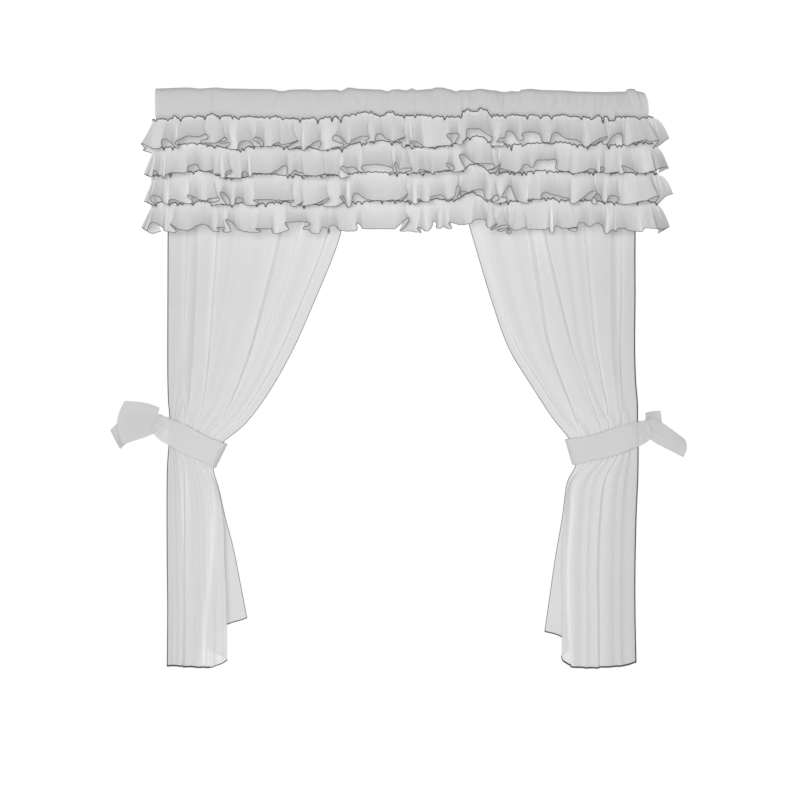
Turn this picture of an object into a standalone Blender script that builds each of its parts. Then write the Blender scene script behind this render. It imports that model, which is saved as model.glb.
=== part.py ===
"""Sheer curtain set that hangs from one rod: a rod pocket, a valance of four ruffle strips on a
backing cloth, two tied-back sheer panels and their two ties.

Metres, +Z up. The origin is the middle of the line where the rod bears on the inside of the pocket.
+X runs along the rod, to the right as seen from the room, and the room is on the -Y side.
The tables hold millimetres, because a maker measures cloth so, and MM turns them to metres.
"""

import math
from typing import NamedTuple

import bmesh
import bpy
from mathutils import Matrix, Vector

MM = 0.001

# Driving sizes.
HEADING_WIDTH = 0.970
POCKET_HEIGHT = 0.0535
POCKET_ROD_DEPTH = 0.022
CLOTH = 0.0012
TIE_CLOTH = 0.0015
GAP = 0.0003

# Heights of the valance, down from the rod.
SEAM_TIERS = (-0.0570, -0.1110, -0.1675, -0.2235)
SEAM_SHARES = (1.0, 0.8, 0.8, 0.7)
RUFFLE_DROPS = (0.0600, 0.0630, 0.0630, 0.0600)
BACKING_BOTTOM = -0.2335

# How a ruffle stands off the backing.
RUFFLE_SEAM_Y = -(CLOTH + GAP)
HEM_REST_OUT = 0.006
FLARE_POWER = 1.3
LOOP_BULGE = 0.30
FOLD_STEPS = 4
RUFFLE_ROWS = 3
LONG_GAP = 0.024
GAP_RIPPLE = 0.005

# How the flat cloths are cut into columns.
SLEEVE_COLUMNS = 32
COLUMNS_A_FOLD = 4

# How a panel's inner part doubles back below its tie, as shares of the cloth's width: where its
# front fold lies, where the valley behind it lies, how wide its turns are, and how far back the
# free edge lies against the valley.
FRONT_FOLD = 0.70
VALLEY = 0.84
TURN_SPREAD = 0.03
EDGE_BACK = 1.6

# How the small folds fade: towards a panel's two edges, and where the cloth doubles back.
CALM_EDGE = 0.14
CALM_BACK_FROM = 0.62
CALM_BACK = 0.25

# How many of a panel's lowest rows take up the hem's uneven line, and how fast.
SAG_ROWS = 4
SAG_POWER = 1.5

# How a tie's band lies round its bundle, in mm across and in depth.
BAND_HALF = 25.0
BUNDLE_MIDDLE = 17.0
BAND_DEPTH = 14.4
KNOT_ALONG = 11.0
KNOT_DEEP = 12.0
KNOT_TALL = 22.0

SHEER_WHITE = (0.84, 0.84, 0.84, 1.0)
TIE_WHITE = (0.80, 0.80, 0.80, 1.0)
CLOTH_ROUGHNESS = 0.85


class Fold(NamedTuple):
    """A fold of a ruffle's hem, in mm: its middle, half its foot, how far it stands out, its lean."""

    x: float
    half: float
    out: float
    lean: float


class Tips(NamedTuple):
    """Where a ruffle's two free ends reach, in mm along the rod."""

    left: float
    right: float


class EndColumn(NamedTuple):
    """A column at a ruffle's free end. How far its seam lies past the pocket's end and how far
    its hem stands out are in mm, and its hem lies this share of the way from the pocket's end
    to the tip."""

    past: float
    to_tip: float
    out: float


class Column(NamedTuple):
    """A column of a ruffle, in metres: where it lies along the seam and along the hem, how far
    its hem stands out, and the power with which it spreads sideways."""

    seam_x: float
    hem_x: float
    out: float
    spread: float


class Rise(NamedTuple):
    """A place along an uneven edge, in mm, and how far up the edge lies there."""

    x: float
    up: float


class Row(NamedTuple):
    """One row across a panel, in mm: its outer and inner edge, how deep its folds are, how far it
    hangs behind the rod line, and where its front fold and the valley behind it lie, as shares of
    the row's width."""

    outer_x: float
    outer_z: float
    inner_x: float
    inner_z: float
    swing: float
    depth: float
    front: float
    valley: float
    back: float


class Pleat(NamedTuple):
    """A fold of a panel: how wide a part of the cloth it takes, and how deep it is as a share
    of its row's swing."""

    width: float
    deep: float


class Girth(NamedTuple):
    """A place along a tie's band, as a share of the way from the knot to its far end. Half the
    band's depth and half its width there are shares of the greatest."""

    along: float
    deep: float
    wide: float


class Station(NamedTuple):
    """A place along a tie's free end, in mm: its upper edge, its lower edge and its depth."""

    top_x: float
    top_z: float
    low_x: float
    low_z: float
    y: float


class Tail(NamedTuple):
    """A free end of a tie: its stations from the knot out, and how far its tip is pointed."""

    stations: tuple
    tip: float


class Tie(NamedTuple):
    """A tie: where its knot lies, how far its band reaches from there, and its free ends. All
    are in mm."""

    knot_x: float
    knot_z: float
    reach: float
    fall: float
    sag: float
    tails: tuple


FOLDS_1 = (
    Fold(-463, 11, 34, 0), Fold(-414, 28, 38, 8), Fold(-355, 11, 33, 10), Fold(-309, 13, 26, 6),
    Fold(-284, 10, 33, -4), Fold(-246, 8, 22, 0), Fold(-221, 12, 28, 12), Fold(-175, 12, 28, 10),
    Fold(-124, 12, 38, -10), Fold(-85, 18, 36, 8), Fold(-43, 10, 42, 0), Fold(14, 14, 22, -4),
    Fold(100, 10, 40, 0), Fold(152, 24, 46, 4), Fold(217, 13, 44, -6), Fold(254, 18, 42, -2),
    Fold(321, 28, 40, -14), Fold(384, 18, 34, 12), Fold(420, 13, 42, 4),
)
FOLDS_2 = (
    Fold(-470, 8, 22, 0), Fold(-412, 12, 40, -2), Fold(-345, 9, 26, 8), Fold(-307, 10, 24, -4),
    Fold(-240, 15, 38, 8), Fold(-207, 10, 22, 0), Fold(-152, 7, 20, 0), Fold(-106, 18, 35, 0),
    Fold(-49, 26, 38, -4), Fold(-12, 7, 42, -3), Fold(11, 8, 26, 2), Fold(94, 8, 34, -6),
    Fold(118, 9, 46, -4), Fold(162, 16, 38, 6), Fold(199, 10, 30, 0), Fold(246, 9, 32, 2),
    Fold(284, 20, 44, 2), Fold(392, 6, 28, 0), Fold(443, 11, 32, -8),
)
FOLDS_3 = (
    Fold(-470, 11, 38, -4), Fold(-441, 9, 22, 0), Fold(-410, 11, 34, -10), Fold(-375, 8, 26, 0),
    Fold(-348, 10, 42, -8), Fold(-319, 7, 28, 0), Fold(-268, 26, 24, 0), Fold(-152, 7, 28, 6),
    Fold(-115, 7, 30, -6), Fold(-82, 15, 38, -6), Fold(4, 7, 34, 6), Fold(68, 17, 34, 0),
    Fold(102, 6, 42, 2), Fold(143, 22, 42, 0), Fold(211, 12, 46, 0), Fold(301, 25, 38, -12),
    Fold(360, 15, 38, 10), Fold(391, 7, 34, 0), Fold(418, 11, 32, 0),
)
FOLDS_4 = (
    Fold(-468, 12, 38, 0), Fold(-440, 7, 32, -5), Fold(-402, 24, 32, 8), Fold(-361, 7, 20, 0),
    Fold(-336, 10, 40, -8), Fold(-272, 17, 22, -6), Fold(-207, 21, 38, 0), Fold(-166, 7, 20, 0),
    Fold(-140, 10, 30, 0), Fold(-87, 6, 32, -2), Fold(-47, 20, 16, 0), Fold(6, 8, 42, 8),
    Fold(65, 8, 34, 0), Fold(95, 11, 30, 0), Fold(152, 15, 42, 0), Fold(183, 7, 30, 4),
    Fold(207, 8, 26, 4), Fold(292, 7, 20, 0), Fold(323, 12, 24, 0), Fold(357, 13, 36, 0),
    Fold(391, 11, 34, 0), Fold(433, 15, 22, 0),
)
TIERS = (
    (FOLDS_1, Tips(-516, 526)),
    (FOLDS_2, Tips(-508, 524)),
    (FOLDS_3, Tips(-510, 534)),
    (FOLDS_4, Tips(-514, 526)),
)

# A ruffle's ends turn back round the ends of the pocket. The right end arches.
LEFT_END = (
    EndColumn(5, 0.26, -10), EndColumn(3.5, 0.90, -4), EndColumn(2, 1.0, 4),
    EndColumn(-1, 0.65, 11), EndColumn(-4, -0.13, 10),
)
RIGHT_END = (
    EndColumn(-4, -0.15, 10), EndColumn(-1, 0.60, 14), EndColumn(2, 1.0, 5),
    EndColumn(3.5, 0.85, -4), EndColumn(5, 0.34, -10),
)
LEFT_SPREAD = 1.0
RIGHT_SPREAD = 0.75

TOP_EDGE = (
    Rise(-485, 2), Rise(-420, 4), Rise(-335, 0), Rise(-230, -4), Rise(-160, -3), Rise(-98, 2),
    Rise(-35, -4), Rise(20, 1), Rise(69, 4), Rise(110, -5), Rise(160, 0), Rise(200, -5),
    Rise(265, -1), Rise(390, -7), Rise(455, 0), Rise(485, -6),
)

# The seam below the pocket, which the tiers under it repeat.
SEAM_LINE = (
    Rise(-490, -5), Rise(-440, -2), Rise(-372, 5), Rise(-330, 0), Rise(-205, -7), Rise(-140, -6),
    Rise(-112, 2), Rise(-20, 5), Rise(30, 0), Rise(106, 0), Rise(134, 9), Rise(158, 9),
    Rise(188, 0), Rise(300, 3), Rise(355, -3), Rise(395, -7), Rise(428, -1), Rise(490, -1),
)

LEFT_ROWS = (
    Row(-481, -64, -61, -64, 0, 1.5, 0.70, 0.84, 0),
    Row(-474, -120, -78, -120, 5, 8, 0.70, 0.84, 0),
    Row(-467, -219, -100, -219, 7, 13, 0.70, 0.84, 0),
    Row(-467, -317, -128, -317, 8, 15, 0.70, 0.84, 0),
    Row(-467, -416, -169, -416, 8, 16, 0.70, 0.84, 0),
    Row(-467, -504, -213, -514, 9, 17, 0.70, 0.84, 0),
    Row(-466, -573, -260, -597, 10, 17, 0.70, 0.84, 0),
    Row(-464, -617, -307, -660, 12, 17, 0.70, 0.84, 0),
    Row(-461, -644, -352, -698, 13, 17, 0.70, 0.84, 0),
    Row(-461, -673, -362, -723, 13, 17, 0.70, 0.84, 0),
    Row(-462, -702, -372, -750, 13, 17, 0.70, 0.84, 0),
    Row(-466, -751, -362, -790, 12, 17, 0.74, 0.86, 2),
    Row(-467, -829, -349, -847, 11, 16, 0.90, 0.78, 12),
    Row(-467, -928, -333, -912, 10, 15, 0.90, 0.66, 16),
    Row(-466, -1027, -319, -976, 10, 15, 0.84, 0.54, 19),
    Row(-467, -1137, -304, -1045, 10, 15, 0.77, 0.455, 22),
)
RIGHT_ROWS = (
    Row(481, -64, 87, -64, 0, 1.5, 0.70, 0.84, 0),
    Row(471, -120, 98, -120, 5, 8, 0.70, 0.84, 0),
    Row(467, -219, 116, -219, 7, 13, 0.70, 0.84, 0),
    Row(465, -317, 144, -317, 8, 15, 0.70, 0.84, 0),
    Row(465, -416, 174, -416, 8, 16, 0.70, 0.84, 0),
    Row(464, -504, 208, -510, 9, 17, 0.70, 0.84, 0),
    Row(465, -573, 252, -583, 10, 17, 0.70, 0.84, 0),
    Row(468, -617, 296, -650, 12, 17, 0.70, 0.84, 0),
    Row(468, -642, 328, -690, 13, 17, 0.70, 0.84, 0),
    Row(468, -674, 335, -716, 13, 17, 0.70, 0.84, 0),
    Row(469, -707, 342, -743, 13, 17, 0.70, 0.84, 0),
    Row(469, -770, 326, -780, 12, 17, 0.74, 0.86, 2),
    Row(466, -845, 316, -849, 11, 16, 0.80, 0.86, 8),
    Row(464, -948, 303, -928, 10, 15, 0.86, 0.84, 14),
    Row(464, -1036, 293, -1001, 10, 15, 0.88, 0.78, 18),
    Row(466, -1130, 282, -1071, 10, 15, 0.84, 0.70, 22),
)
# The hem isn't level: how far it drops below the straight line between its two corners, in mm,
# at equal steps across the cloth.
LEFT_HEM_SAG = (0, 9, 19, 29, 39, 47, 51, 48, 40, 9, 0)
RIGHT_HEM_SAG = (0, 12, 20, 27, 34, 39, 41, 31, 22, 3, 0)

# The folds across each panel, from its outer edge.
LEFT_PLEATS = (
    Pleat(0.9, 0.8), Pleat(0.7, 1.0), Pleat(1.1, 0.7), Pleat(0.8, 1.0), Pleat(1.6, 0.7),
    Pleat(1.1, 1.0), Pleat(1.4, 0.6), Pleat(0.9, 0.8),
)
RIGHT_PLEATS = (
    Pleat(0.8, 0.7), Pleat(1.2, 1.0), Pleat(0.8, 0.6), Pleat(1.1, 1.0), Pleat(0.8, 0.8),
    Pleat(1.5, 0.9), Pleat(1.0, 1.0), Pleat(1.3, 0.6),
)

# How a band swells from its knot and closes at its far end.
GIRTHS = (
    Girth(0.0, 0.20, 0.72), Girth(0.06, 0.40, 0.82), Girth(0.12, 0.78, 0.91),
    Girth(0.19, 1.0, 0.96), Girth(0.27, 1.0, 1.0), Girth(0.42, 1.0, 1.0), Girth(0.58, 1.0, 1.0),
    Girth(0.74, 1.0, 1.0), Girth(0.87, 1.0, 1.0), Girth(0.93, 0.93, 1.0), Girth(0.97, 0.68, 1.0),
    Girth(0.993, 0.25, 1.0),
)

LEFT_TIE = Tie(-486, -662, 128.5, 64, 2, (
    Tail((
        Station(-480, -630, -490, -680, 15), Station(-505, -621, -512, -689, 11),
        Station(-528, -618, -533, -696, 7), Station(-547.5, -617, -551.5, -703, 5),
    ), 12),
    Tail((
        Station(-483, -640, -487, -671, 19), Station(-525, -638, -523, -688, 23),
        Station(-556, -655, -545, -702, 24), Station(-577.5, -674, -558.5, -712, 22),
    ), 0),
))
RIGHT_TIE = Tie(490, -672, -160, 46, 5, (
    Tail((
        Station(484, -653, 490, -691, 15), Station(504, -654, 506, -702, 10),
        Station(530, -671, 530, -714, 7), Station(558, -692, 555, -727, 6),
    ), 5),
    Tail((
        Station(482, -641, 484, -670, 19), Station(492, -638, 494, -676, 23),
        Station(502, -637, 506, -680, 24), Station(513, -636, 517, -682, 23),
    ), 0),
))


def clear_scene():
    """Removes every object that is in the scene."""
    for old in list(bpy.data.objects):
        bpy.data.objects.remove(old)


def cloth_material(name, colour):
    """A matt white woven cloth."""
    material = bpy.data.materials.new(name)
    material.use_nodes = True
    shader = material.node_tree.nodes["Principled BSDF"]
    shader.inputs["Base Color"].default_value = colour
    shader.inputs["Roughness"].default_value = CLOTH_ROUGHNESS
    shader.inputs["Metallic"].default_value = 0.0
    return material


def add_object(name, mesh, colour):
    """Puts a mesh in the scene with a material of its own, shaded smooth."""
    obj = bpy.data.objects.new(name, mesh)
    bpy.context.scene.collection.objects.link(obj)
    mesh.materials.append(cloth_material(name + "_cloth", colour))
    mesh.shade_smooth()
    return obj


def grid_mesh(name, rows, ring=False):
    """An open sheet through rows of points. With ring, each row's ends are joined."""
    shape = bmesh.new()
    made = [[shape.verts.new(point) for point in row] for row in rows]
    count = len(rows[0])
    for above, below in zip(made, made[1:]):
        for i in range(count if ring else count - 1):
            j = (i + 1) % count
            shape.faces.new((above[i], above[j], below[j], below[i]))
    bmesh.ops.recalc_face_normals(shape, faces=shape.faces)
    mesh = bpy.data.meshes.new(name)
    shape.to_mesh(mesh)
    shape.free()
    return mesh


def add_sheet(name, rows, thickness, colour, ring=False):
    """A cloth of the given thickness, half of it on each side of the rows of points."""
    obj = add_object(name, grid_mesh(name, rows, ring), colour)
    solid = obj.modifiers.new("Thickness", "SOLIDIFY")
    solid.thickness = thickness
    solid.offset = 0.0
    solid.use_rim = True
    return obj


def mix(a, b, share):
    """The number that lies this share of the way from a to b."""
    return a + (b - a) * share


def edge_up(edge, x):
    """How far up an uneven edge lies at x, eased between the rows of its table."""
    for near, far in zip(edge, edge[1:]):
        if x <= far.x * MM:
            share = (x / MM - near.x) / (far.x - near.x)
            share = min(max(share, 0.0), 1.0)
            return mix(near.up, far.up, (1 - math.cos(math.pi * share)) / 2) * MM
    return edge[-1].up * MM


def sleeve_places():
    """Where the columns of the pocket and of the backing lie along the rod."""
    return [HEADING_WIDTH * (i / SLEEVE_COLUMNS - 0.5) for i in range(SLEEVE_COLUMNS + 1)]


def build_pocket():
    """The rod pocket: cloth folded over the rod and stitched below it, open at both ends."""
    half_depth = POCKET_ROD_DEPTH / 2
    profile = (
        (0.0, 1.0), (-0.62, 0.84), (-1.0, 0.50), (-0.86, 0.14), (0.0, 0.0), (0.86, 0.14),
        (1.0, 0.50), (0.62, 0.84),
    )
    ripple_pitch = 0.121
    ripple = 0.10
    sections = []
    for x in sleeve_places():
        top = edge_up(TOP_EDGE, x) + CLOTH / 2
        bottom = edge_up(SEAM_LINE, x) - POCKET_HEIGHT
        wave = 1 + ripple * math.sin(2 * math.pi * x / ripple_pitch)
        sections.append([
            Vector((x, depth * half_depth * wave, mix(top, bottom, down)))
            for depth, down in profile
        ])
    return add_sheet("rod_pocket", sections, CLOTH, SHEER_WHITE, ring=True)


def build_backing():
    """The plain cloth that runs down behind the ruffles and carries them."""
    top = -(POCKET_HEIGHT + CLOTH + GAP)
    rows = [
        [Vector((x, 0.0, top + edge_up(SEAM_LINE, x))) for x in sleeve_places()],
        [Vector((x, 0.0, BACKING_BOTTOM)) for x in sleeve_places()],
    ]
    return add_sheet("valance_backing", rows, CLOTH, SHEER_WHITE)


def end_columns(end, side, tip, spread):
    """The columns at one free end of a ruffle, which lies on this side, -1 or 1."""
    half = HEADING_WIDTH / 2
    return [
        Column(
            side * (half + column.past * MM), mix(side * half, tip * MM, column.to_tip),
            column.out * MM, spread,
        )
        for column in end
    ]


def fold_columns(fold):
    """The columns across one fold of a ruffle, from foot to foot. Its hem bulges past its feet."""
    columns = []
    for i in range(FOLD_STEPS + 1):
        turn = math.pi * i / FOLD_STEPS
        reach = math.sin(turn)
        seam_x = fold.x - fold.half * math.cos(turn)
        hem_x = fold.x - fold.half * math.cos(turn) * (1 + LOOP_BULGE * reach)
        out = mix(HEM_REST_OUT, fold.out * MM, reach)
        columns.append(Column(seam_x * MM, (hem_x + fold.lean * reach) * MM, out, 1.0))
    return columns


def hem_columns(folds, tips):
    """All of a ruffle's columns, left to right."""
    columns = end_columns(LEFT_END, -1, tips.left, LEFT_SPREAD)
    for fold in folds:
        foot = (fold.x - fold.half) * MM
        previous = columns[-1].seam_x
        if foot - previous > LONG_GAP:
            middle = (foot + previous) / 2
            columns.append(Column(middle, middle, HEM_REST_OUT + GAP_RIPPLE, 1.0))
        columns += fold_columns(fold)
    return columns + end_columns(RIGHT_END, 1, tips.right, RIGHT_SPREAD)


def ruffle_point(column, seam_z, drop, share):
    """The point of a ruffle that lies this share of its drop below the seam. The cloth keeps its
    length, so what stands out further hangs less low."""
    sideways = (column.hem_x - column.seam_x) * share**column.spread
    outward = column.out * share**FLARE_POWER
    length = drop * share
    across = math.hypot(sideways, outward)
    least_fall = 0.25 * length
    fall = math.sqrt(max(length**2 - across**2, least_fall**2))
    return Vector((column.seam_x + sideways, RUFFLE_SEAM_Y - outward, seam_z - fall))


def build_ruffles():
    """Four gathered strips, each stitched along its top edge to the backing."""
    for number, (folds, tips) in enumerate(TIERS):
        columns = hem_columns(folds, tips)
        seams = [
            SEAM_TIERS[number] + edge_up(SEAM_LINE, column.seam_x) * SEAM_SHARES[number]
            for column in columns
        ]
        rows = [
            [
                ruffle_point(column, seam_z, RUFFLE_DROPS[number], i / RUFFLE_ROWS)
                for column, seam_z in zip(columns, seams)
            ]
            for i in range(RUFFLE_ROWS + 1)
        ]
        add_sheet(f"ruffle_{number + 1}", rows, CLOTH, SHEER_WHITE)


def fold_wave(pleats, share):
    """How far the cloth stands off its row's middle at this share of it, from -1 to 1."""
    total = sum(pleat.width for pleat in pleats)
    done = 0.0
    for pleat in pleats:
        part = pleat.width / total
        if share <= done + part or pleat is pleats[-1]:
            return math.sin(2 * math.pi * (share - done) / part) * pleat.deep
        done += part
    return 0.0


def carrier(row, share):
    """Plan position of a row's cloth without its small folds. Low down it doubles back in a Z."""
    if share <= FRONT_FOLD:
        across = mix(0.0, row.front, share / FRONT_FOLD)
        back = 0.0
    elif share <= VALLEY:
        part = (share - FRONT_FOLD) / (VALLEY - FRONT_FOLD)
        across = mix(row.front, row.valley, part)
        back = part
    else:
        part = (share - VALLEY) / (1.0 - VALLEY)
        across = mix(row.valley, 1.0, part)
        back = mix(1.0, EDGE_BACK, part)
    x = mix(row.outer_x, row.inner_x, across)
    return Vector((x, row.depth + back * row.back, 0.0))


def softened(row, share):
    """The carrier with its two turns rounded."""
    steps = (-TURN_SPREAD, 0.0, TURN_SPREAD)
    places = [min(max(share + step, 0.0), 1.0) for step in steps]
    return sum((carrier(row, place) for place in places), Vector()) / len(places)


def across_normal(row, share, side):
    """The way in which a row's folds swing at this share of it, level and square to the cloth."""
    step = 0.01
    ahead = softened(row, min(share + step, 1.0)) - softened(row, max(share - step, 0.0))
    ahead.normalize()
    return Vector((ahead.y, -ahead.x, 0.0)) * side


def hem_sag(sags, share):
    """How far the hem drops below the line between its corners, read from equal steps."""
    place = share * (len(sags) - 1)
    low = min(int(place), len(sags) - 2)
    return mix(sags[low], sags[low + 1], place - low)


def panel_shares(pleats):
    """Where a panel's columns lie across its cloth: the middle, the crest and the hollow of each
    fold."""
    total = sum(pleat.width for pleat in pleats)
    shares = [0.0]
    for pleat in pleats:
        begin = shares[-1]
        shares += [
            begin + pleat.width / total * step / COLUMNS_A_FOLD
            for step in range(1, COLUMNS_A_FOLD + 1)
        ]
    return shares


def panel_point(row, pleats, share, side, sag):
    """The point of a panel that lies this share of the cloth's width across one of its rows."""
    calm = min(1.0, share / CALM_EDGE, (1.0 - share) / CALM_EDGE)
    if row.back and share >= CALM_BACK_FROM:
        calm *= CALM_BACK
    swing = row.swing * fold_wave(pleats, share) * calm
    place = softened(row, share) + across_normal(row, share, side) * swing
    z = mix(row.outer_z, row.inner_z, share) - sag
    return Vector((place.x, place.y, z)) * MM


def build_panel(name, table, pleats, sags):
    """One sheer panel, from the pocket's seam through its tie to its hem."""
    side = 1 if table[0].inner_x > table[0].outer_x else -1
    sag_begins = len(table) - 1 - SAG_ROWS
    rows = []
    for number, row in enumerate(table):
        sag_share = (max(number - sag_begins, 0) / SAG_ROWS) ** SAG_POWER
        rows.append([
            panel_point(row, pleats, share, side, hem_sag(sags, share) * sag_share)
            for share in panel_shares(pleats)
        ])
    return add_sheet(name, rows, CLOTH, SHEER_WHITE)


def build_panels():
    """The two sheer panels."""
    build_panel("panel_left", LEFT_ROWS, LEFT_PLEATS, LEFT_HEM_SAG)
    build_panel("panel_right", RIGHT_ROWS, RIGHT_PLEATS, RIGHT_HEM_SAG)


def smooth_path(points, steps):
    """Points along a smooth curve that passes through each given point."""
    made = []
    last = len(points) - 1
    for i in range(last):
        before = points[max(i - 1, 0)]
        start = points[i]
        stop = points[i + 1]
        after = points[min(i + 2, last)]
        for step in range(steps):
            t = step / steps
            made.append(
                0.5 * (2 * start + (stop - before) * t
                       + (2 * before - 5 * start + 4 * stop - after) * t**2
                       + (3 * start - before - 3 * stop + after) * t**3)
            )
    return made + [points[last]]


def tail_mesh(tail):
    """A free end of a tie, as an open sheet from inside the knot to its cut end."""
    belly = 3.0
    low_back = 1.5
    across = 4
    rows = []
    count = len(tail.stations)
    for number, here in enumerate(tail.stations):
        top = Vector((here.top_x, here.y, here.top_z))
        low = Vector((here.low_x, here.y + low_back, here.low_z))
        outward = math.copysign(tail.tip, here.top_x) * (number / (count - 1)) ** 3
        row = []
        for i in range(across + 1):
            share = i / across
            bow = math.sin(math.pi * share)
            point = top.lerp(low, share) + Vector((outward * bow, -belly * bow, 0.0))
            row.append(point * MM)
        rows.append(row)
    columns = [smooth_path([row[i] for row in rows], 2) for i in range(across + 1)]
    return grid_mesh("tail", [list(row) for row in zip(*columns)])


def band_mesh(tie):
    """The band that runs round the bundle and back to the knot."""
    across = Vector((tie.reach, 0.0, -tie.fall)).normalized()
    upward = Vector((across.z, 0.0, -across.x)) * (1 if across.x < 0 else -1)
    knot = Vector((tie.knot_x, BUNDLE_MIDDLE, tie.knot_z))
    span = Vector((tie.reach, 0.0, -tie.fall))
    ring = [(girth, -1) for girth in GIRTHS]
    ring.append((Girth(1.0, 0.0, 1.0), 1))
    ring += [(girth, 1) for girth in reversed(GIRTHS)]
    rows = []
    for lift in (-1, 0, 1):
        row = []
        for girth, side in ring:
            sag = Vector((0.0, 0.0, -tie.sag * math.sin(math.pi * girth.along)))
            depth = Vector((0.0, side * girth.deep * BAND_DEPTH, 0.0))
            height = upward * lift * girth.wide * BAND_HALF
            row.append((knot + span * girth.along + sag + depth + height) * MM)
        rows.append(row)
    return grid_mesh("band", rows, ring=True)


def knot_mesh(tie):
    """The half knot: a lump of turned cloth with three soft furrows."""
    rings = 7
    sides = 12
    furrow = 0.10
    lean = math.atan2(tie.fall, abs(tie.reach)) * math.copysign(1.0, tie.reach)
    turn = Matrix.Rotation(lean, 4, "Y")
    shape = bmesh.new()
    bmesh.ops.create_uvsphere(shape, u_segments=sides, v_segments=rings, radius=1.0)
    for vert in shape.verts:
        around = math.atan2(vert.co.y, vert.co.x)
        swell = 1 + furrow * math.sin(3 * around + 2 * vert.co.z)
        size = Vector((KNOT_ALONG * swell, KNOT_DEEP * swell, KNOT_TALL))
        place = turn @ Vector(a * b for a, b in zip(vert.co, size))
        vert.co = (place + Vector((tie.knot_x, BUNDLE_MIDDLE, tie.knot_z))) * MM
    mesh = bpy.data.meshes.new("knot")
    shape.to_mesh(mesh)
    shape.free()
    return mesh


def thicken(mesh, thickness):
    """Turns an open sheet into a closed solid of the given thickness."""
    holder = bpy.data.objects.new("holder", mesh)
    bpy.context.scene.collection.objects.link(holder)
    solid = holder.modifiers.new("Thickness", "SOLIDIFY")
    solid.thickness = thickness
    solid.offset = 0.0
    solid.use_rim = True
    graph = bpy.context.evaluated_depsgraph_get()
    closed = bpy.data.meshes.new_from_object(holder.evaluated_get(graph))
    bpy.data.objects.remove(holder)
    return closed


def build_tie(name, tie):
    """One tie: its band, its knot and its two free ends, joined into one solid."""
    obj = add_object(name, thicken(band_mesh(tie), TIE_CLOTH), TIE_WHITE)
    pieces = [knot_mesh(tie)]
    pieces += [thicken(tail_mesh(tail), TIE_CLOTH) for tail in tie.tails]
    for number, mesh in enumerate(pieces):
        mesh.shade_smooth()
        piece = bpy.data.objects.new(f"{name}_part_{number}", mesh)
        bpy.context.scene.collection.objects.link(piece)
        piece.hide_render = True
        piece.display_type = "WIRE"
        union = obj.modifiers.new(f"Union {number}", "BOOLEAN")
        union.operation = "UNION"
        union.object = piece
    return obj


def build_ties():
    """The two ties, one round each bundle."""
    build_tie("tie_left", LEFT_TIE)
    build_tie("tie_right", RIGHT_TIE)


def build_all():
    """The whole set."""
    clear_scene()
    build_pocket()
    build_backing()
    build_ruffles()
    build_panels()
    build_ties()


build_all()
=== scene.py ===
"""Looks of a sheer curtain set: a rod pocket, a valance of four ruffles, two tied-back panels.

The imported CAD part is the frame. All lengths are metres unless a table says millimetres, which is
how a maker measures cloth. The rod line runs through the origin along X, +Z is up and the room is
on the -Y side. The tables follow the folds of the CAD solids more finely, so that each cloth lies
on its solid. The panels' folds are drawn again here and differ a little from their solids'.
"""

import logging
import math
from collections.abc import Iterable, Sequence
from dataclasses import dataclass
from enum import Enum
from typing import Any, NamedTuple

import bmesh
import bpy
from bpy.types import Material, Mesh, Node, NodeSocket, NodeTree, Object
from mathutils import Matrix, Vector


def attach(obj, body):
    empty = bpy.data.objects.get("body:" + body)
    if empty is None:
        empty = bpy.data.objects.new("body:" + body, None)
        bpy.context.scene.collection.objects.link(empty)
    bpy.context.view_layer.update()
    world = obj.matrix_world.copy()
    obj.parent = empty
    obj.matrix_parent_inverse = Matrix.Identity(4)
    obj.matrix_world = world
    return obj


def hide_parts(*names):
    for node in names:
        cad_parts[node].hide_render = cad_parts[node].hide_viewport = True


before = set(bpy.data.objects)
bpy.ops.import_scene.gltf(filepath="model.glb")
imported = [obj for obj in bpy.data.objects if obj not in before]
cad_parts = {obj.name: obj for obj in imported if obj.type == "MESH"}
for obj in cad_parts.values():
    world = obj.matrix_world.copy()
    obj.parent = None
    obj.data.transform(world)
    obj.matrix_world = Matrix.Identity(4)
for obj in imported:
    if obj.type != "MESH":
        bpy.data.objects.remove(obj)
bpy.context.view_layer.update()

log = logging.getLogger("curtain")

Line = Sequence[Vector]
Pair = tuple[float, float]

MM = 0.001
BODY = "root"
TINY = 1e-9
WHITE = (1.0, 1.0, 1.0, 1.0)


# Tables


class HemPoint(NamedTuple):
    """A point of a ruffle's hem as it is seen from the front, in grid steps right of the middle
    and below the rod line. At a free end the cloth turns behind, and there `out` says, in mm, how
    far it stands out."""

    x: float
    down: float
    out: float = math.nan


class Course(NamedTuple):
    """A ruffle's frilled head, in grid steps: the points of its general line, and the places
    where a pinch of cloth is caught and pulls it down, with how far."""

    line: tuple[Pair, ...]
    pinches: tuple[Pair, ...]


class StripColumn(NamedTuple):
    """A column of a ruffle: where it leaves the seam, where it meets the hem, and how far that is
    along the hem."""

    seam_x: float
    hem: Vector
    along: float


class Rise(NamedTuple):
    """A place along an uneven edge, in mm, and how far up the edge lies there."""

    x: float
    up: float


class PanelRow(NamedTuple):
    """One row across a panel, in mm: its outer and inner edge, how deep its folds are, how far it
    hangs behind the rod line, where its front fold and the valley behind it lie as shares of the
    row's width, and how far the cloth doubles back."""

    outer_x: float
    outer_z: float
    inner_x: float
    inner_z: float
    swing: float
    depth: float
    front: float
    valley: float
    back: float


class Pleat(NamedTuple):
    """A fold of a panel: how wide a part of the cloth it takes, and how deep it is as a share of
    its row's swing."""

    width: float
    deep: float


class Crease(NamedTuple):
    """A soft crease pressed into a cloth, in mm: its two ends on the cloth's face, half its width
    and how far it stands out, which is less than 0 for a trough."""

    x0: float
    z0: float
    x1: float
    z1: float
    half: float
    out: float


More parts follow.
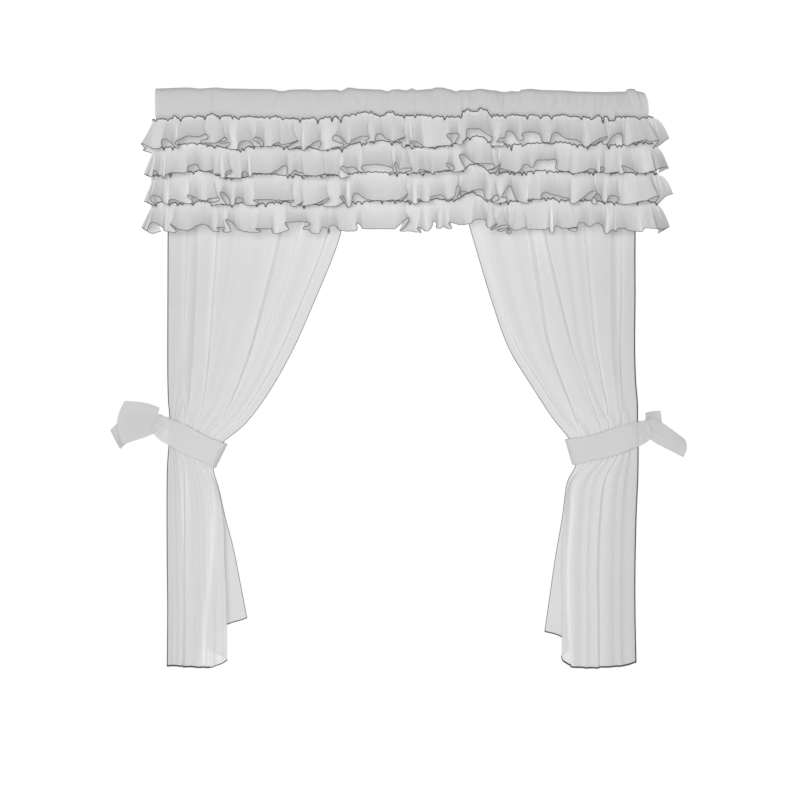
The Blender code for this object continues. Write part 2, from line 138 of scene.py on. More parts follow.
class FoldLine(NamedTuple):
    """A fold that lies flat on itself. Its place across the cloth is given at six levels from the
    top of the panel to its hem, as shares of the row, and so is its strength, from 0 to 1. Half
    its width is a share of the row too."""

    course: tuple[float, ...]
    strength: tuple[float, ...]
    half: float


class Gathers(NamedTuple):
    """A run of small uneven folds: their height and the mean distance from crest to crest."""

    height: float
    pitch: float

    def at(self, x: float, seed: float) -> float:
        """How far they carry the cloth at this place along it."""
        return self.height * uneven_wave(x, self.pitch, seed)


class Girth(NamedTuple):
    """A place along a tie's band, as a share of the way from the knot to its far end. Half the
    band's depth and half its width there are shares of the greatest."""

    along: float
    deep: float
    wide: float


class Station(NamedTuple):
    """A place along a tie's free end, in mm: its upper edge, its lower edge and its depth."""

    top_x: float
    top_z: float
    low_x: float
    low_z: float
    y: float


class Tail(NamedTuple):
    """A free end of a tie: its stations from the knot out, how far its tip is pointed, and how
    far its lower edge lies behind its upper one."""

    stations: tuple[Station, ...]
    tip: float
    lean: float = 1.5


# The hems and heads of the ruffles were measured on a square grid with this step, from the
# front, as they are seen from the camera's place.
GRID = 1.97 * MM
EYE = Vector((-0.0039, -3.0644, -0.6146))

HEMS = ((
    (-250, 65.5, -9), (-254.5, 63.8, -8), (-259, 62.3, -5), (-256.5, 61, 0), (-261, 55.7, 4),
    (-257, 57), (-253, 59), (-248, 60.7), (-244, 60.7), (-241, 59.5), (-240, 57), (-241, 54),
    (-240, 51.8), (-237, 50.8), (-234.5, 52), (-231, 54.8), (-227.5, 58.5), (-224.5, 60.7),
    (-224, 58.5), (-226, 56.5), (-226.8, 54.3), (-225, 52.5), (-221, 51), (-217, 48.8), (-212, 48),
    (-206, 48.8), (-201, 48), (-197, 46.3), (-194.2, 47.8), (-194.5, 50.5), (-198, 51.8),
    (-201, 53), (-201.5, 55.2), (-198, 54.8), (-192, 54.8), (-188, 55.3), (-184, 53.8),
    (-180.5, 51.5), (-177.5, 49.3), (-175.5, 50.5), (-176.2, 52.7), (-179, 53.5), (-182.5, 54),
    (-179, 55.5), (-175, 54.3), (-172, 55.3), (-173.5, 57.5), (-176, 59), (-172, 61), (-167, 61.5),
    (-164.2, 61.3), (-163.8, 58.5), (-162.5, 55.2), (-159.5, 53.2), (-155, 53), (-151, 54.7),
    (-148.5, 57.5), (-146, 58.5), (-142.2, 59), (-142.2, 56.5), (-146, 53.7), (-148.7, 52),
    (-148, 50), (-144.7, 49.3), (-141, 51), (-138.5, 54.5), (-138.5, 58.8), (-135, 58.5),
    (-131, 58.5), (-129, 57), (-126, 55), (-123, 54.5), (-121, 56.5), (-116, 56), (-112, 55.3),
    (-108, 54), (-104, 52), (-105, 53.5), (-109, 55), (-113.5, 58), (-113.5, 61.5), (-108, 59.8),
    (-103, 58.5), (-100.5, 60), (-100.5, 62.3), (-98, 62), (-95, 59.5), (-92, 57.5), (-88, 54.5),
    (-84, 52.8), (-81.5, 53.5), (-81.5, 57), (-83.5, 59.5), (-83.5, 62), (-80, 62.3), (-74, 61.8),
    (-71, 60.8), (-67, 59), (-62, 58.8), (-59, 58), (-58, 56.5), (-62, 55), (-66, 53.5),
    (-69.2, 52), (-69.3, 49), (-67.5, 47), (-64, 47.8), (-60, 50.5), (-57, 53.8), (-54.5, 55.5),
    (-52, 55.5), (-51, 53), (-48, 51), (-43, 49.3), (-38, 48), (-34, 48.8), (-32.7, 50),
    (-35, 51.8), (-37, 52.8), (-35, 54.5), (-31, 53.5), (-28, 53.5), (-26.7, 51), (-26, 47.5),
    (-24.5, 46), (-21, 46), (-18.5, 48), (-16.5, 50.8), (-13, 51.8), (-9, 53.5), (-5, 52), (0, 50),
    (3.5, 48.8), (1, 50.5), (-3, 52.5), (-0.5, 55), (0, 58.5), (2, 60), (4, 57), (7, 56.8),
    (9, 59.5), (12, 60), (11, 56.5), (8.5, 54.5), (10, 53), (14, 53.5), (18, 56), (21, 58.5),
    (25, 59.5), (31, 59.3), (38, 58), (48, 57.3), (50, 55), (48, 51.5), (45, 48.5), (45.5, 45.8),
    (50, 45.3), (56, 45.8), (57, 48.5), (54.5, 51.5), (53.5, 54.5), (56, 56.5), (59.5, 57.2),
    (61, 53.5), (64, 50.5), (64.3, 46), (65, 42), (68, 40.5), (73, 41), (78, 41), (81, 43.5),
    (85, 46.5), (89, 48.5), (90.5, 50.5), (88.5, 54), (89.5, 58), (95, 57.8), (101, 58),
    (102.5, 55.5), (99, 53.5), (94.5, 54.5), (96, 52), (100, 49.8), (103, 49.5), (103.5, 45.5),
    (105, 43.2), (109, 43.5), (112, 46), (115, 51), (118, 52.8), (121, 52), (121.3, 49),
    (119.5, 47), (121, 45), (126, 44), (132, 44.2), (136.5, 45.8), (139, 49), (139.8, 53),
    (144, 54.5), (148, 54), (149, 49.5), (151, 45.5), (154, 44.3), (157, 46), (161, 49), (167, 51),
    (174, 51.7), (178, 54), (181, 57.5), (185, 59), (190, 55.5), (197, 51), (202, 49.3),
    (205.5, 48.3), (204, 50.5), (200, 53), (201.5, 56.5), (205, 56), (207.5, 52.5), (210, 48.5),
    (215, 45.7), (218, 45.3), (220.5, 48), (220.5, 54), (223, 57.5), (227, 57.5), (231, 55),
    (236, 53.7), (242, 52), (245, 52.5), (249, 53.5), (253, 52.8), (256.5, 52.5, 14),
    (254.5, 56, 9), (251, 60, 3), (254, 59.5, -3), (258, 57, -10), (262, 53.7, -20), (267, 50, -30),
), (
    (-251, 89, -9), (-255, 87.7, -7), (-258, 86, 0), (-254, 87.5, 7), (-250, 89), (-249, 85.5),
    (-249, 83), (-247, 82.3), (-245, 84.5), (-243, 87), (-241, 87.5), (-238, 90.5), (-237, 87.5),
    (-235, 86), (-231, 85), (-225, 84.7), (-219, 85), (-215, 84), (-214.7, 81), (-213, 78),
    (-209, 76.8), (-205.5, 76), (-204, 78.5), (-202, 81.5), (-198, 83.5), (-193, 82.8),
    (-189, 82.2), (-190, 84.5), (-187, 86), (-184, 85.8), (-181.5, 87), (-182.5, 89), (-179, 90),
    (-176, 88.5), (-177, 86), (-174, 83), (-171.5, 82), (-170.5, 83.5), (-174, 86), (-176, 89),
    (-171, 90), (-166, 90), (-161, 90.3), (-160.3, 87), (-159.5, 84), (-157, 84), (-154.5, 86),
    (-152.5, 89.5), (-150.5, 88), (-149.5, 85.5), (-144, 85.3), (-137, 85.7), (-131, 85.3),
    (-128, 83.5), (-124, 81.8), (-121, 79.3), (-117.5, 77.5), (-115, 79), (-114.5, 82),
    (-115.5, 85.5), (-112, 86.5), (-109, 83.5), (-106.5, 82), (-105, 84), (-102, 84.5), (-99, 85.5),
    (-96.5, 89), (-98, 90.5), (-100, 88), (-95, 87.5), (-87, 88), (-81, 87), (-77, 85.5),
    (-75, 87.5), (-78, 90.3), (-80.5, 88.5), (-79, 86.5), (-72, 86.3), (-64, 87.3), (-62, 90),
    (-57, 89.8), (-53, 87.5), (-58, 83.5), (-61.7, 80.5), (-60, 78.2), (-55, 79.5), (-50, 79),
    (-46, 80.7), (-43.5, 83.5), (-40, 84.3), (-38, 84), (-40, 81.5), (-40.7, 79), (-38.5, 77.3),
    (-32, 76.8), (-24, 76.5), (-16, 78), (-11, 79.5), (-8.5, 81.5), (-10, 83.5), (-12.5, 84),
    (-10, 86), (-7, 84), (-5, 85), (-6, 81), (-7.7, 76.5), (-6.5, 74.3), (-4.5, 77), (-2.5, 81),
    (0, 80.5), (6, 80), (10, 80.5), (9, 82.5), (5, 83.5), (3.5, 85), (7, 86), (11, 84.5),
    (16, 84.8), (17.5, 81.5), (21, 82), (24, 83), (22, 85.5), (20, 86.8), (18, 85), (23, 83.3),
    (28, 83.7), (31, 86.5), (33, 83.8), (39, 83.3), (45, 82), (48, 82.3), (46.5, 79.5), (44, 76.8),
    (45.5, 75), (49, 76.5), (52, 79.5), (51, 82), (48.5, 83), (53, 84), (58, 83.5), (62, 82),
    (63, 79.5), (60, 75), (58, 70.5), (57, 67.5), (59, 66.3), (62, 66.7), (65, 69.5), (69, 73),
    (73, 75.3), (79, 75.5), (86, 75.7), (91, 76.3), (93, 78.5), (90.5, 81), (85.5, 82), (89, 82),
    (93, 80.5), (96, 77.5), (98.5, 76.3), (97, 79), (95, 83), (93, 86.5), (96, 87), (97.5, 82),
    (99, 80), (102, 81.5), (106, 82.5), (110, 83.5), (114, 84.7), (117, 83.5), (119, 81.5),
    (120.5, 78), (122.5, 76.7), (126, 77), (128.5, 79), (130.5, 79.5), (132.5, 76.5), (134.5, 72.5),
    (138, 72), (145, 72), (151, 71.3), (154, 72), (154.5, 75), (153.5, 79), (155.5, 82),
    (161, 83.3), (167, 83.5), (170, 85.5), (173, 85.5), (178, 84.5), (184, 83), (187, 81),
    (192, 81.3), (195, 84), (198, 84.5), (198.3, 80.5), (199, 78.8), (201.5, 79.5), (202.5, 82),
    (201, 85), (206, 85.3), (211, 84.3), (216, 84.3), (219, 86), (222, 84.5), (221, 80.5),
    (219.5, 78.5), (221.5, 77.8), (226, 79.3), (230, 81.5), (234, 84), (238, 85.5), (244, 85),
    (249, 83.5), (254, 82, 16), (258, 80.4, 8), (262, 79.5, -6), (265, 79, -18), (266.5, 80.3, -24),
    (262, 82, -18), (257, 84.5, -10),
), (
    (-249, 117, -9), (-254, 115, -7), (-258, 113.3, 0), (-254, 114.7, 6), (-249, 117), (-247, 117),
    (-249, 114.5), (-251.5, 112), (-251.7, 109.5), (-249.5, 107.5), (-246, 107.3), (-242.5, 109),
    (-240, 112), (-239.2, 114.5), (-236, 116), (-233.5, 115.5), (-233, 112.5), (-230, 111.5),
    (-226, 112.3), (-222, 114), (-217, 115.3), (-211, 115.5), (-209.5, 113), (-211.5, 111),
    (-214.7, 109), (-214, 107), (-211, 107.8), (-207, 109.3), (-203, 111.5), (-199, 112.5),
    (-194, 112.5), (-194.5, 111), (-190, 110.3), (-184, 109.7), (-182.5, 111.5), (-185.5, 113.5),
    (-190, 114.5), (-191.5, 115.5), (-189, 117.5), (-185, 116.5), (-180, 116), (-177, 117),
    (-177.5, 114), (-180.5, 109), (-182.2, 105), (-181, 103.5), (-178, 105), (-175, 108.5),
    (-172.5, 112.5), (-172, 116), (-169.5, 118), (-166.5, 115), (-166.5, 111.5), (-165, 109.5),
    (-161.5, 109.8), (-159, 112), (-159, 115), (-156, 117), (-152, 117.5), (-146, 117),
    (-144, 115.5), (-147.5, 113.5), (-148.7, 112.2), (-144, 111.7), (-134, 111.7), (-124, 112.2),
    (-118, 112.7), (-112, 112.3), (-108.5, 112.5), (-109, 114), (-111.7, 115), (-111, 117.5),
    (-108, 118.5), (-104, 116.8), (-99, 113.8), (-101, 116), (-99, 118), (-92, 117), (-87, 116),
    (-83, 114.5), (-78, 112), (-73.5, 109.8), (-73, 111), (-77, 114), (-79.5, 116.5), (-77, 118.5),
    (-70, 118.7), (-65, 118), (-61, 115.8), (-59, 114), (-61, 111), (-62.5, 109.5), (-61.5, 108),
    (-59, 108.3), (-57, 111.5), (-56.7, 115), (-55, 118.5), (-53, 120), (-50.5, 116.5), (-50, 112),
    (-49, 107.5), (-47, 105.3), (-44, 105.7), (-40, 108.8), (-36, 111), (-30, 112.5), (-23, 112.5),
    (-17, 113), (-11, 112), (-5, 112.3), (0, 110.5), (4, 107), (5.5, 105.5), (4, 109), (1, 112),
    (3, 114), (6, 112), (9, 113.5), (12.5, 116.3), (16, 115), (15.3, 111.5), (17.5, 111),
    (21, 113.5), (25, 114), (28, 112.5), (28.5, 109.5), (32, 108), (37, 106.8), (40, 107.3),
    (43, 110), (46, 111.5), (51, 109.5), (53.5, 107), (54, 101.5), (55.5, 98), (57.5, 98.5),
    (58, 101.5), (57, 105.5), (55, 109.5), (58, 110), (59, 107.5), (58, 104), (62, 103.3),
    (66, 104.5), (70, 102.8), (75, 101.5), (79, 101.2), (81.5, 103), (82, 107), (84, 111),
    (88, 112), (91, 109), (93, 107), (96, 107.8), (97, 110.5), (94, 113), (90, 114.5), (94, 115.8),
    (99, 115), (104, 113.5), (105, 110.5), (102, 109), (99.5, 109.5), (101.5, 105.5), (104.5, 101),
    (105.5, 98.3), (109.5, 98.3), (110, 102), (112, 107), (114.5, 111.5), (118, 113.8), (123, 115),
    (126.5, 115), (125.5, 112), (128, 111), (134, 111.2), (138.5, 111.2), (139, 107.5), (141, 105),
    (144, 104.3), (149, 106), (155, 107.8), (161, 109.3), (165, 110), (167.5, 111.5), (168, 115),
    (171, 115.8), (175, 114.5), (178, 112), (182, 109), (186, 105.5), (189, 103.5), (192, 103),
    (195, 104), (193, 107.5), (190, 110.5), (189, 113.5), (191, 115.8), (194, 115.5),
    (194.5, 111.5), (192, 109), (194.5, 106), (197.5, 106.8), (199, 110), (200, 113), (204, 114.5),
    (205.5, 111.5), (207, 108.5), (209.5, 107.3), (213, 108), (216.5, 109.5), (216.5, 111.5),
    (214.5, 114), (217.5, 115.8), (224, 116.5), (232, 115.5), (238, 113.5), (244, 112.8),
    (248, 111), (252, 109), (256.5, 108.3, 14), (255, 111.5, 10), (253, 115, 5), (256, 116, 0),
    (259, 113, -6), (263, 109, -14), (267, 106.8, -22), (271, 106, -30),
), (
    (-241, 143, -9), (-246, 144.8, -9), (-250.5, 145.5, -8), (-256, 142.5, -6), (-260.5, 139.5, 0),
    (-258, 141, 6), (-255, 142.5), (-253.5, 139), (-252, 136), (-249.5, 134.5), (-247, 134.7),
    (-243, 137), (-239, 139.7), (-238, 142.5), (-235, 143.5), (-227, 144.5), (-226, 142.5),
    (-229.5, 139), (-232.2, 136), (-229, 138), (-225, 140.5), (-220, 142), (-215, 142.5),
    (-211, 141.3), (-207, 138.8), (-203, 137), (-198, 136.2), (-194, 138), (-191.5, 140.8),
    (-189, 143), (-185, 143.5), (-182.5, 143), (-183.5, 141.5), (-185.5, 140), (-183.5, 139.3),
    (-178.5, 139.5), (-177.5, 141), (-179.5, 142), (-178, 144), (-173, 144.2), (-171, 143),
    (-172.5, 139.5), (-175, 135), (-176.7, 132.5), (-175.5, 131.3), (-172, 133), (-168, 136),
    (-166.5, 139), (-164, 141.5), (-160, 143), (-154, 144), (-147, 144.5), (-142, 144), (-141, 143),
    (-144, 142), (-147, 140.8), (-142, 140.7), (-136, 140.8), (-130.5, 141), (-129.5, 144.5),
    (-127, 145.7), (-122, 145), (-116, 143), (-113, 141.5), (-115, 138.5), (-117, 136),
    (-116.5, 134.5), (-110, 134.2), (-103, 133.5), (-98, 134), (-93.5, 134.8), (-92, 136),
    (-95, 138), (-98.5, 139.5), (-98.5, 141.5), (-93.5, 141.5), (-92, 144), (-88, 145.5),
    (-83, 145.8), (-81.5, 143), (-80, 140), (-77, 139), (-74, 141), (-72, 143), (-73, 145.5),
    (-74.2, 144), (-73, 141.5), (-73, 139.5), (-71, 137.5), (-67.5, 137.5), (-65, 139.5),
    (-63, 142.2), (-59, 142.8), (-52, 143.3), (-47, 143), (-44.7, 141.5), (-45, 138),
    (-46.2, 135.5), (-44, 135.3), (-41, 138), (-39.5, 140.5), (-35, 140.8), (-27, 141),
    (-17, 140.8), (-8, 141), (-6, 140), (-2, 136.5), (2, 132.5), (6, 129.8), (7.3, 130), (6, 134),
    (3, 138.5), (0, 141), (-2.5, 142.5), (0, 143.5), (6, 143), (12, 143.8), (17, 144.3), (19, 145),
    (18.5, 143), (16, 141.5), (15.3, 140), (17.5, 139.5), (20, 141), (23, 143), (26, 143),
    (29, 140.5), (30.5, 137), (31.3, 133.5), (33.5, 134), (35, 136), (34, 138.5), (36, 140.5),
    (39, 140.2), (41, 138.5), (44, 140), (49, 141), (49.5, 138.5), (47, 136.5), (46.8, 134.5),
    (50, 134.5), (55, 136.3), (61, 136.7), (66, 136), (70, 134.5), (72, 132), (77, 131.2),
    (82, 131.5), (84, 134), (84, 138), (87, 139.8), (90, 139), (92.5, 136.5), (95, 135.5),
    (93, 138.5), (88.5, 141), (89, 142), (93, 141), (97, 138.5), (102, 137), (105, 137.3),
    (108, 139), (103, 140), (98, 141), (95, 142.5), (98, 143.5), (103, 142.5), (106, 140.5),
    (109, 143), (109.5, 144.5), (107, 146), (104.5, 144.5), (106, 142), (109, 140.5), (112, 142),
    (117, 142), (121, 140.3), (124, 139.5), (125, 141.5), (131, 141.3), (138, 141.5), (144, 141.5),
    (145.5, 140), (147, 141), (148, 144), (150, 146), (151.5, 143.5), (152.5, 139), (154, 137.5),
    (157, 139), (161, 140.3), (168, 140.3), (175, 140), (175, 142), (173, 143.5), (169, 143),
    (166, 141), (170, 139.7), (175, 139), (176, 136), (178, 134.5), (181, 134.8), (184, 136.8),
    (187, 138.7), (190, 138), (193, 135.8), (196, 135), (199, 136.5), (201.5, 140), (202, 144),
    (204, 146), (207, 144.8), (210, 142), (212, 142), (214, 143.7), (215, 141), (218, 140.3),
    (222, 140.5), (226, 142.3), (232, 143.2), (238, 143.7), (241, 143), (242, 140.5), (245, 140),
    (251, 140.5), (256, 140.7, 16), (260, 141.5, 6), (264, 140.4, -8), (267.5, 138.5, -20),
    (262, 142, -16), (256, 145.5, -9),
))
HEADS = (
    Course((
        (-248, 32), (-242, 31), (-232, 31), (-227, 28.5), (-222, 30.5), (-215, 28.5), (-202, 28.5),
        (-195, 28), (-191, 26), (-186, 26.5), (-180, 28), (-172, 28), (-162, 30), (-155, 28.5),
        (-140, 29.5), (-127, 28.5), (-117, 30.5), (-97, 31), (-89, 30), (-82, 31.5), (-77, 29.5),
        (-67, 29), (-62, 31), (-56, 27.5), (-49, 26.5), (-44, 25), (-32, 24.5), (-24, 27.5),
        (-18, 27.5), (-14, 24.5), (-10, 24), (-6, 27), (0, 28), (16, 27), (33, 28.5), (53, 29),
        (59, 29), (61, 23.5), (66, 21.5), (69, 23.5), (75, 23.5), (78, 20.5), (84, 22), (88, 27),
        (101, 28), (111, 27), (123, 28), (133, 27), (138, 29), (144, 27.5), (150, 29), (158, 27),
        (163, 27), (168, 29), (173, 28.5), (183, 29), (190, 31.5), (195, 28), (199, 28.5),
        (205, 29), (207, 33), (212, 33), (214, 29), (220, 29), (226, 28.5), (238, 30), (250, 29),
    ), (
        (-246, 2), (-234, 3), (-221, 4), (-207, 2.5), (-197, 4.5), (-185, 3), (-182, 4.5),
        (-169, 2.5), (-163, 2), (-132, 3), (-119, 2), (-102, 4.5), (-84, 5), (-70, 5), (-61, 4),
        (-53, 2.5), (-46, 2.5), (-22, 2), (2, 2), (13, 3), (31, 2), (42.5, 4), (58.5, 2), (90, 3),
        (103, 3), (125, 3), (138, 2), (149.5, 2.5), (179, 4), (200.5, 8), (223, 2), (237, 2.5),
    )),
    Course((
        (-248, 60), (-238, 59), (-228, 59), (-222, 56.5), (-206, 55), (-198, 56), (-188, 57.5),
        (-176, 60), (-165, 62), (-157, 60), (-152, 57.5), (-140, 58.5), (-128, 57.5), (-120, 58.5),
        (-106, 60.5), (-92, 59.5), (-84, 61.5), (-67, 60.5), (-57, 60), (-52, 56.5), (-42, 54.5),
        (-31, 54), (-21, 52.5), (-12, 54), (-2, 54.5), (8, 58), (20, 59.5), (32, 59.5), (43, 58),
        (52, 56), (60, 53), (66, 50), (73, 48), (80, 49), (86, 52), (91, 56), (97, 57.5), (106, 56),
        (118, 56.5), (130, 55.5), (138, 54.5), (148, 56), (157, 54), (166, 55), (176, 56.5),
        (184, 59), (190, 57.5), (199, 54), (206, 57), (218, 57), (230, 56), (240, 54), (250, 56),
        (256, 59),
    ), (
        (-237.5, 4), (-229, 3), (-224, 2), (-205, 2.5), (-194, 3), (-187, 4.5), (-161, 4),
        (-158, 3), (-151, 3), (-148, 4), (-118, 4), (-113, 3), (-74, 3), (-60, 5), (-40, 4),
        (-37, 4), (-28, 3), (-10, 4.5), (3, 3), (10, 3), (32.5, 3), (50, 3), (68, 3.5), (86, 4),
        (90, 5), (105.5, 4), (109, 8), (120.5, 3), (138, 2), (170, 3), (175, 4), (185, 3),
        (206.5, 4.5), (215, 3), (219, 3), (234, 3), (241, 3),
    )),
    Course((
        (-250, 88), (-240, 86), (-228, 84.5), (-214, 84), (-200, 82.5), (-192, 84), (-182, 88),
        (-170, 90), (-158, 89.5), (-148, 86), (-130, 86), (-118, 87.5), (-106, 87), (-90, 88),
        (-76, 87.5), (-62, 87), (-52, 86), (-42, 84.5), (-28, 84), (-12, 84.5), (0, 85), (16, 85),
        (32, 84), (48, 83), (60, 82), (68, 77), (74, 76), (80, 78), (86, 83), (94, 86), (104, 84),
        (116, 84.5), (128, 83.5), (140, 82.5), (152, 83), (162, 83.5), (170, 85), (184, 84),
        (196, 84), (208, 85), (222, 84.5), (236, 85), (248, 84), (258, 86),
    ), (
        (-243, 3), (-238, 5), (-231, 5), (-208, 3), (-200, 2), (-176, 3), (-170, 3), (-114, 3),
        (-109, 4), (-99, 4), (-80, 2.5), (-12, 4), (-5, 4), (6, 3), (21, 3), (31, 3), (61, 3),
        (88, 3), (108, 3), (112, 4), (120, 4), (124, 4), (131, 3), (145, 2.5), (151, 3), (155, 3),
        (171, 2.5), (187, 3), (191, 4), (209, 3), (234, 3), (243, 3), (252, 3),
    )),
    Course((
        (-250, 116), (-240, 114), (-226, 115), (-212, 115), (-200, 113), (-186, 115), (-174, 117),
        (-160, 115), (-148, 116.5), (-132, 115), (-116, 113.5), (-104, 117), (-90, 116.5),
        (-76, 117), (-60, 115), (-48, 114), (-36, 113.5), (-20, 112.5), (-6, 113), (8, 113.5),
        (20, 113), (34, 111), (46, 112), (56, 111), (64, 106), (70, 104), (77, 108), (84, 111.5),
        (96, 114), (108, 113), (120, 113.5), (134, 111), (148, 110.5), (158, 112), (168, 112),
        (180, 112), (192, 113), (206, 114), (218, 115), (230, 114), (242, 112.5), (256, 115),
    ), (
        (-246, 3), (-232, 3), (-224, 3), (-220, 3), (-209, 3), (-190, 4), (-170, 3), (-145, 3),
        (-136, 4), (-121, 3), (-108, 3), (-98, 4), (-54, 6), (-46, 3), (-40, 3), (-20, 4), (-7, 3),
        (8, 4), (14, 3), (46, 3), (52, 3), (85, 3), (98, 3), (106, 4), (129, 3), (144, 2.5),
        (157, 3), (163, 2), (181, 2), (202, 3), (212, 3), (235, 4), (254, 3),
    )),
)

# The left and the right end of each ruffle's seam.
RUFFLE_ENDS = ((-0.4910, 0.4940), (-0.4920, 0.4990), (-0.4930, 0.5040), (-0.4930, 0.5030))

TOP_EDGE = tuple(Rise(*row) for row in (
    (-485, -1), (-422, 1), (-398, -1), (-366, 1), (-343, -1), (-280, -2),
    (-260, -2.4), (-236, -6), (-217, -3), (-189, -2.4), (-169, -4),
    (-130, -3), (-122, -5.5), (-104, 1), (-83, -1.6), (-43, -3),
    (-28, -6.3), (-18, -3), (-8, -2.4), (8, -4.7), (20, -0.8), (28, -4),
    (55, -2), (69, 1.2), (81, 0.8), (91, -2), (108, -6.7), (114, -4),
    (130, -4.7), (154, -1.6), (181, -4.7), (201, -8), (217, -6),
    (229, -7), (236, -3), (252, -1.6), (280, -4), (311, -4.7),
    (351, -7), (390, -8), (441, -7), (449, -1.6), (461, -1.6), (469, -6),
    (485, -9),
))
LEFT_ROWS = tuple(PanelRow(*row) for row in (
    (-481, -64, -61, -64, 0, 1.5, 0.70, 0.84, 0),
    (-471, -150, -85, -150, 7.5, 9.5, 0.70, 0.84, 0),
    (-467, -250, -109, -250, 10, 13.5, 0.70, 0.84, 0),
    (-467, -317, -128, -317, 5, 15, 0.70, 0.84, 0),
    (-467, -416, -169, -416, 5, 16, 0.70, 0.84, 0),
    (-467, -504, -213, -514, 5, 17, 0.70, 0.84, 0),
    (-466, -573, -260, -597, 5, 15, 0.70, 0.84, 0),
    (-464, -617, -307, -660, 4.5, 14, 0.70, 0.84, 0),
    (-461, -644, -352, -698, 4, 13, 0.70, 0.84, 0),
    (-461, -673, -362, -723, 4, 13, 0.70, 0.84, 0),
    (-462, -702, -372, -750, 4, 13, 0.70, 0.84, 0),
    (-466, -751, -362, -790, 4, 13, 0.96, 0.90, 3),
    (-467, -829, -350, -847, 4, 14, 1.00, 0.80, 10),
    (-467, -928, -333, -912, 4, 15, 0.90, 0.66, 16),
    (-466, -1029, -319, -978, 4.5, 15, 0.84, 0.52, 19),
    (-467, -1142, -304, -1051, 5, 15, 0.77, 0.42, 22),
))
RIGHT_ROWS = tuple(PanelRow(*row) for row in (
    (481, -64, 87, -64, 0, 1.5, 0.70, 0.84, 0),
    (469, -150, 103, -150, 7.5, 9.5, 0.70, 0.84, 0),
    (466, -250, 125, -250, 10, 13.5, 0.70, 0.84, 0),
    (465, -317, 144, -317, 3.6, 15, 0.70, 0.84, 0),
    (465, -416, 174, -416, 3.6, 16, 0.70, 0.84, 0),
    (464, -504, 208, -510, 3.6, 17, 0.70, 0.84, 0),
    (465, -573, 252, -583, 3.8, 15, 0.70, 0.84, 0),
    (468, -617, 296, -650, 4, 14, 0.70, 0.84, 0),
    (468, -642, 328, -690, 4, 13, 0.70, 0.84, 0),
    (468, -674, 335, -716, 4, 13, 0.70, 0.84, 0),
    (469, -707, 342, -743, 4, 13, 0.70, 0.84, 0),
    (469, -770, 326, -780, 4, 13, 0.97, 0.92, 3),
    (466, -845, 317, -849, 3.5, 14, 1.00, 0.88, 8),
    (464, -948, 304, -928, 3.5, 15, 0.95, 0.84, 14),
    (464, -1037, 293, -1004, 3.8, 15, 0.88, 0.78, 18),
    (466, -1134, 282, -1078, 4.5, 15, 0.84, 0.70, 22),
))
LEFT_HEM_SAG = (0, 9, 19, 29, 39, 47, 51, 48, 40, 9, 0)
RIGHT_HEM_SAG = (0, 12, 20, 27, 34, 39, 41, 31, 22, 3, 0)
LEFT_PLEATS = (
    Pleat(0.9, 0.75), Pleat(0.7, 0.55), Pleat(1.3, 0.75), Pleat(0.8, 0.4), Pleat(1.9, 0.7),
    Pleat(0.8, 0.6), Pleat(1.4, 0.7), Pleat(0.9, 0.5),
)
RIGHT_PLEATS = (
    Pleat(1.2, 0.45), Pleat(0.7, 0.4), Pleat(1.3, 0.55), Pleat(0.7, 0.45), Pleat(0.8, 0.5),
    Pleat(1.8, 0.75), Pleat(1.1, 0.55), Pleat(1.3, 0.6),
)
# Folds that lie flat on themselves, from the outer edge inwards.
LEFT_LINES = (
    FoldLine((0.14, 0.15, 0.20, 0.30, 0.22, 0.20), (0.6, 0.9, 0.9, 0.6, 0.6, 0.6), 0.050),
    FoldLine((0.31, 0.30, 0.378, 0.55, 0.51, 0.44), (0.6, 0.75, 0.7, 0.5, 0.7, 0.7), 0.022),
    FoldLine((0.66, 0.646, 0.675, 0.74, 0.62, 0.53), (0.6, 0.75, 0.7, 0.4, 0.3, 0.3), 0.024),
    FoldLine((0.77, 0.75, 0.78, 0.82, 0.80, 0.80), (0.2, 0.3, 0.3, 0.0, 0.0, 0.0), 0.016),
    FoldLine((0.93, 0.91, 0.89, 0.86, 0.88, 0.88), (0.5, 0.7, 0.7, 0.3, 0.0, 0.0), 0.020),
)
RIGHT_LINES = (
    FoldLine((0.12, 0.13, 0.18, 0.30, 0.34, 0.34), (0.6, 0.9, 0.9, 0.6, 0.3, 0.3), 0.048),
    FoldLine((0.30, 0.31, 0.33, 0.46, 0.46, 0.46), (0.5, 0.75, 0.7, 0.4, 0.3, 0.3), 0.022),
    FoldLine((0.56, 0.55, 0.49, 0.58, 0.60, 0.60), (0.5, 0.75, 0.7, 0.4, 0.6, 0.6), 0.022),
    FoldLine((0.63, 0.64, 0.70, 0.84, 0.72, 0.70), (0.6, 0.8, 0.7, 0.5, 0.3, 0.2), 0.028),
    FoldLine((0.97, 0.95, 0.90, 0.88, 0.88, 0.88), (0.0, 0.5, 0.7, 0.4, 0.0, 0.0), 0.020),
)

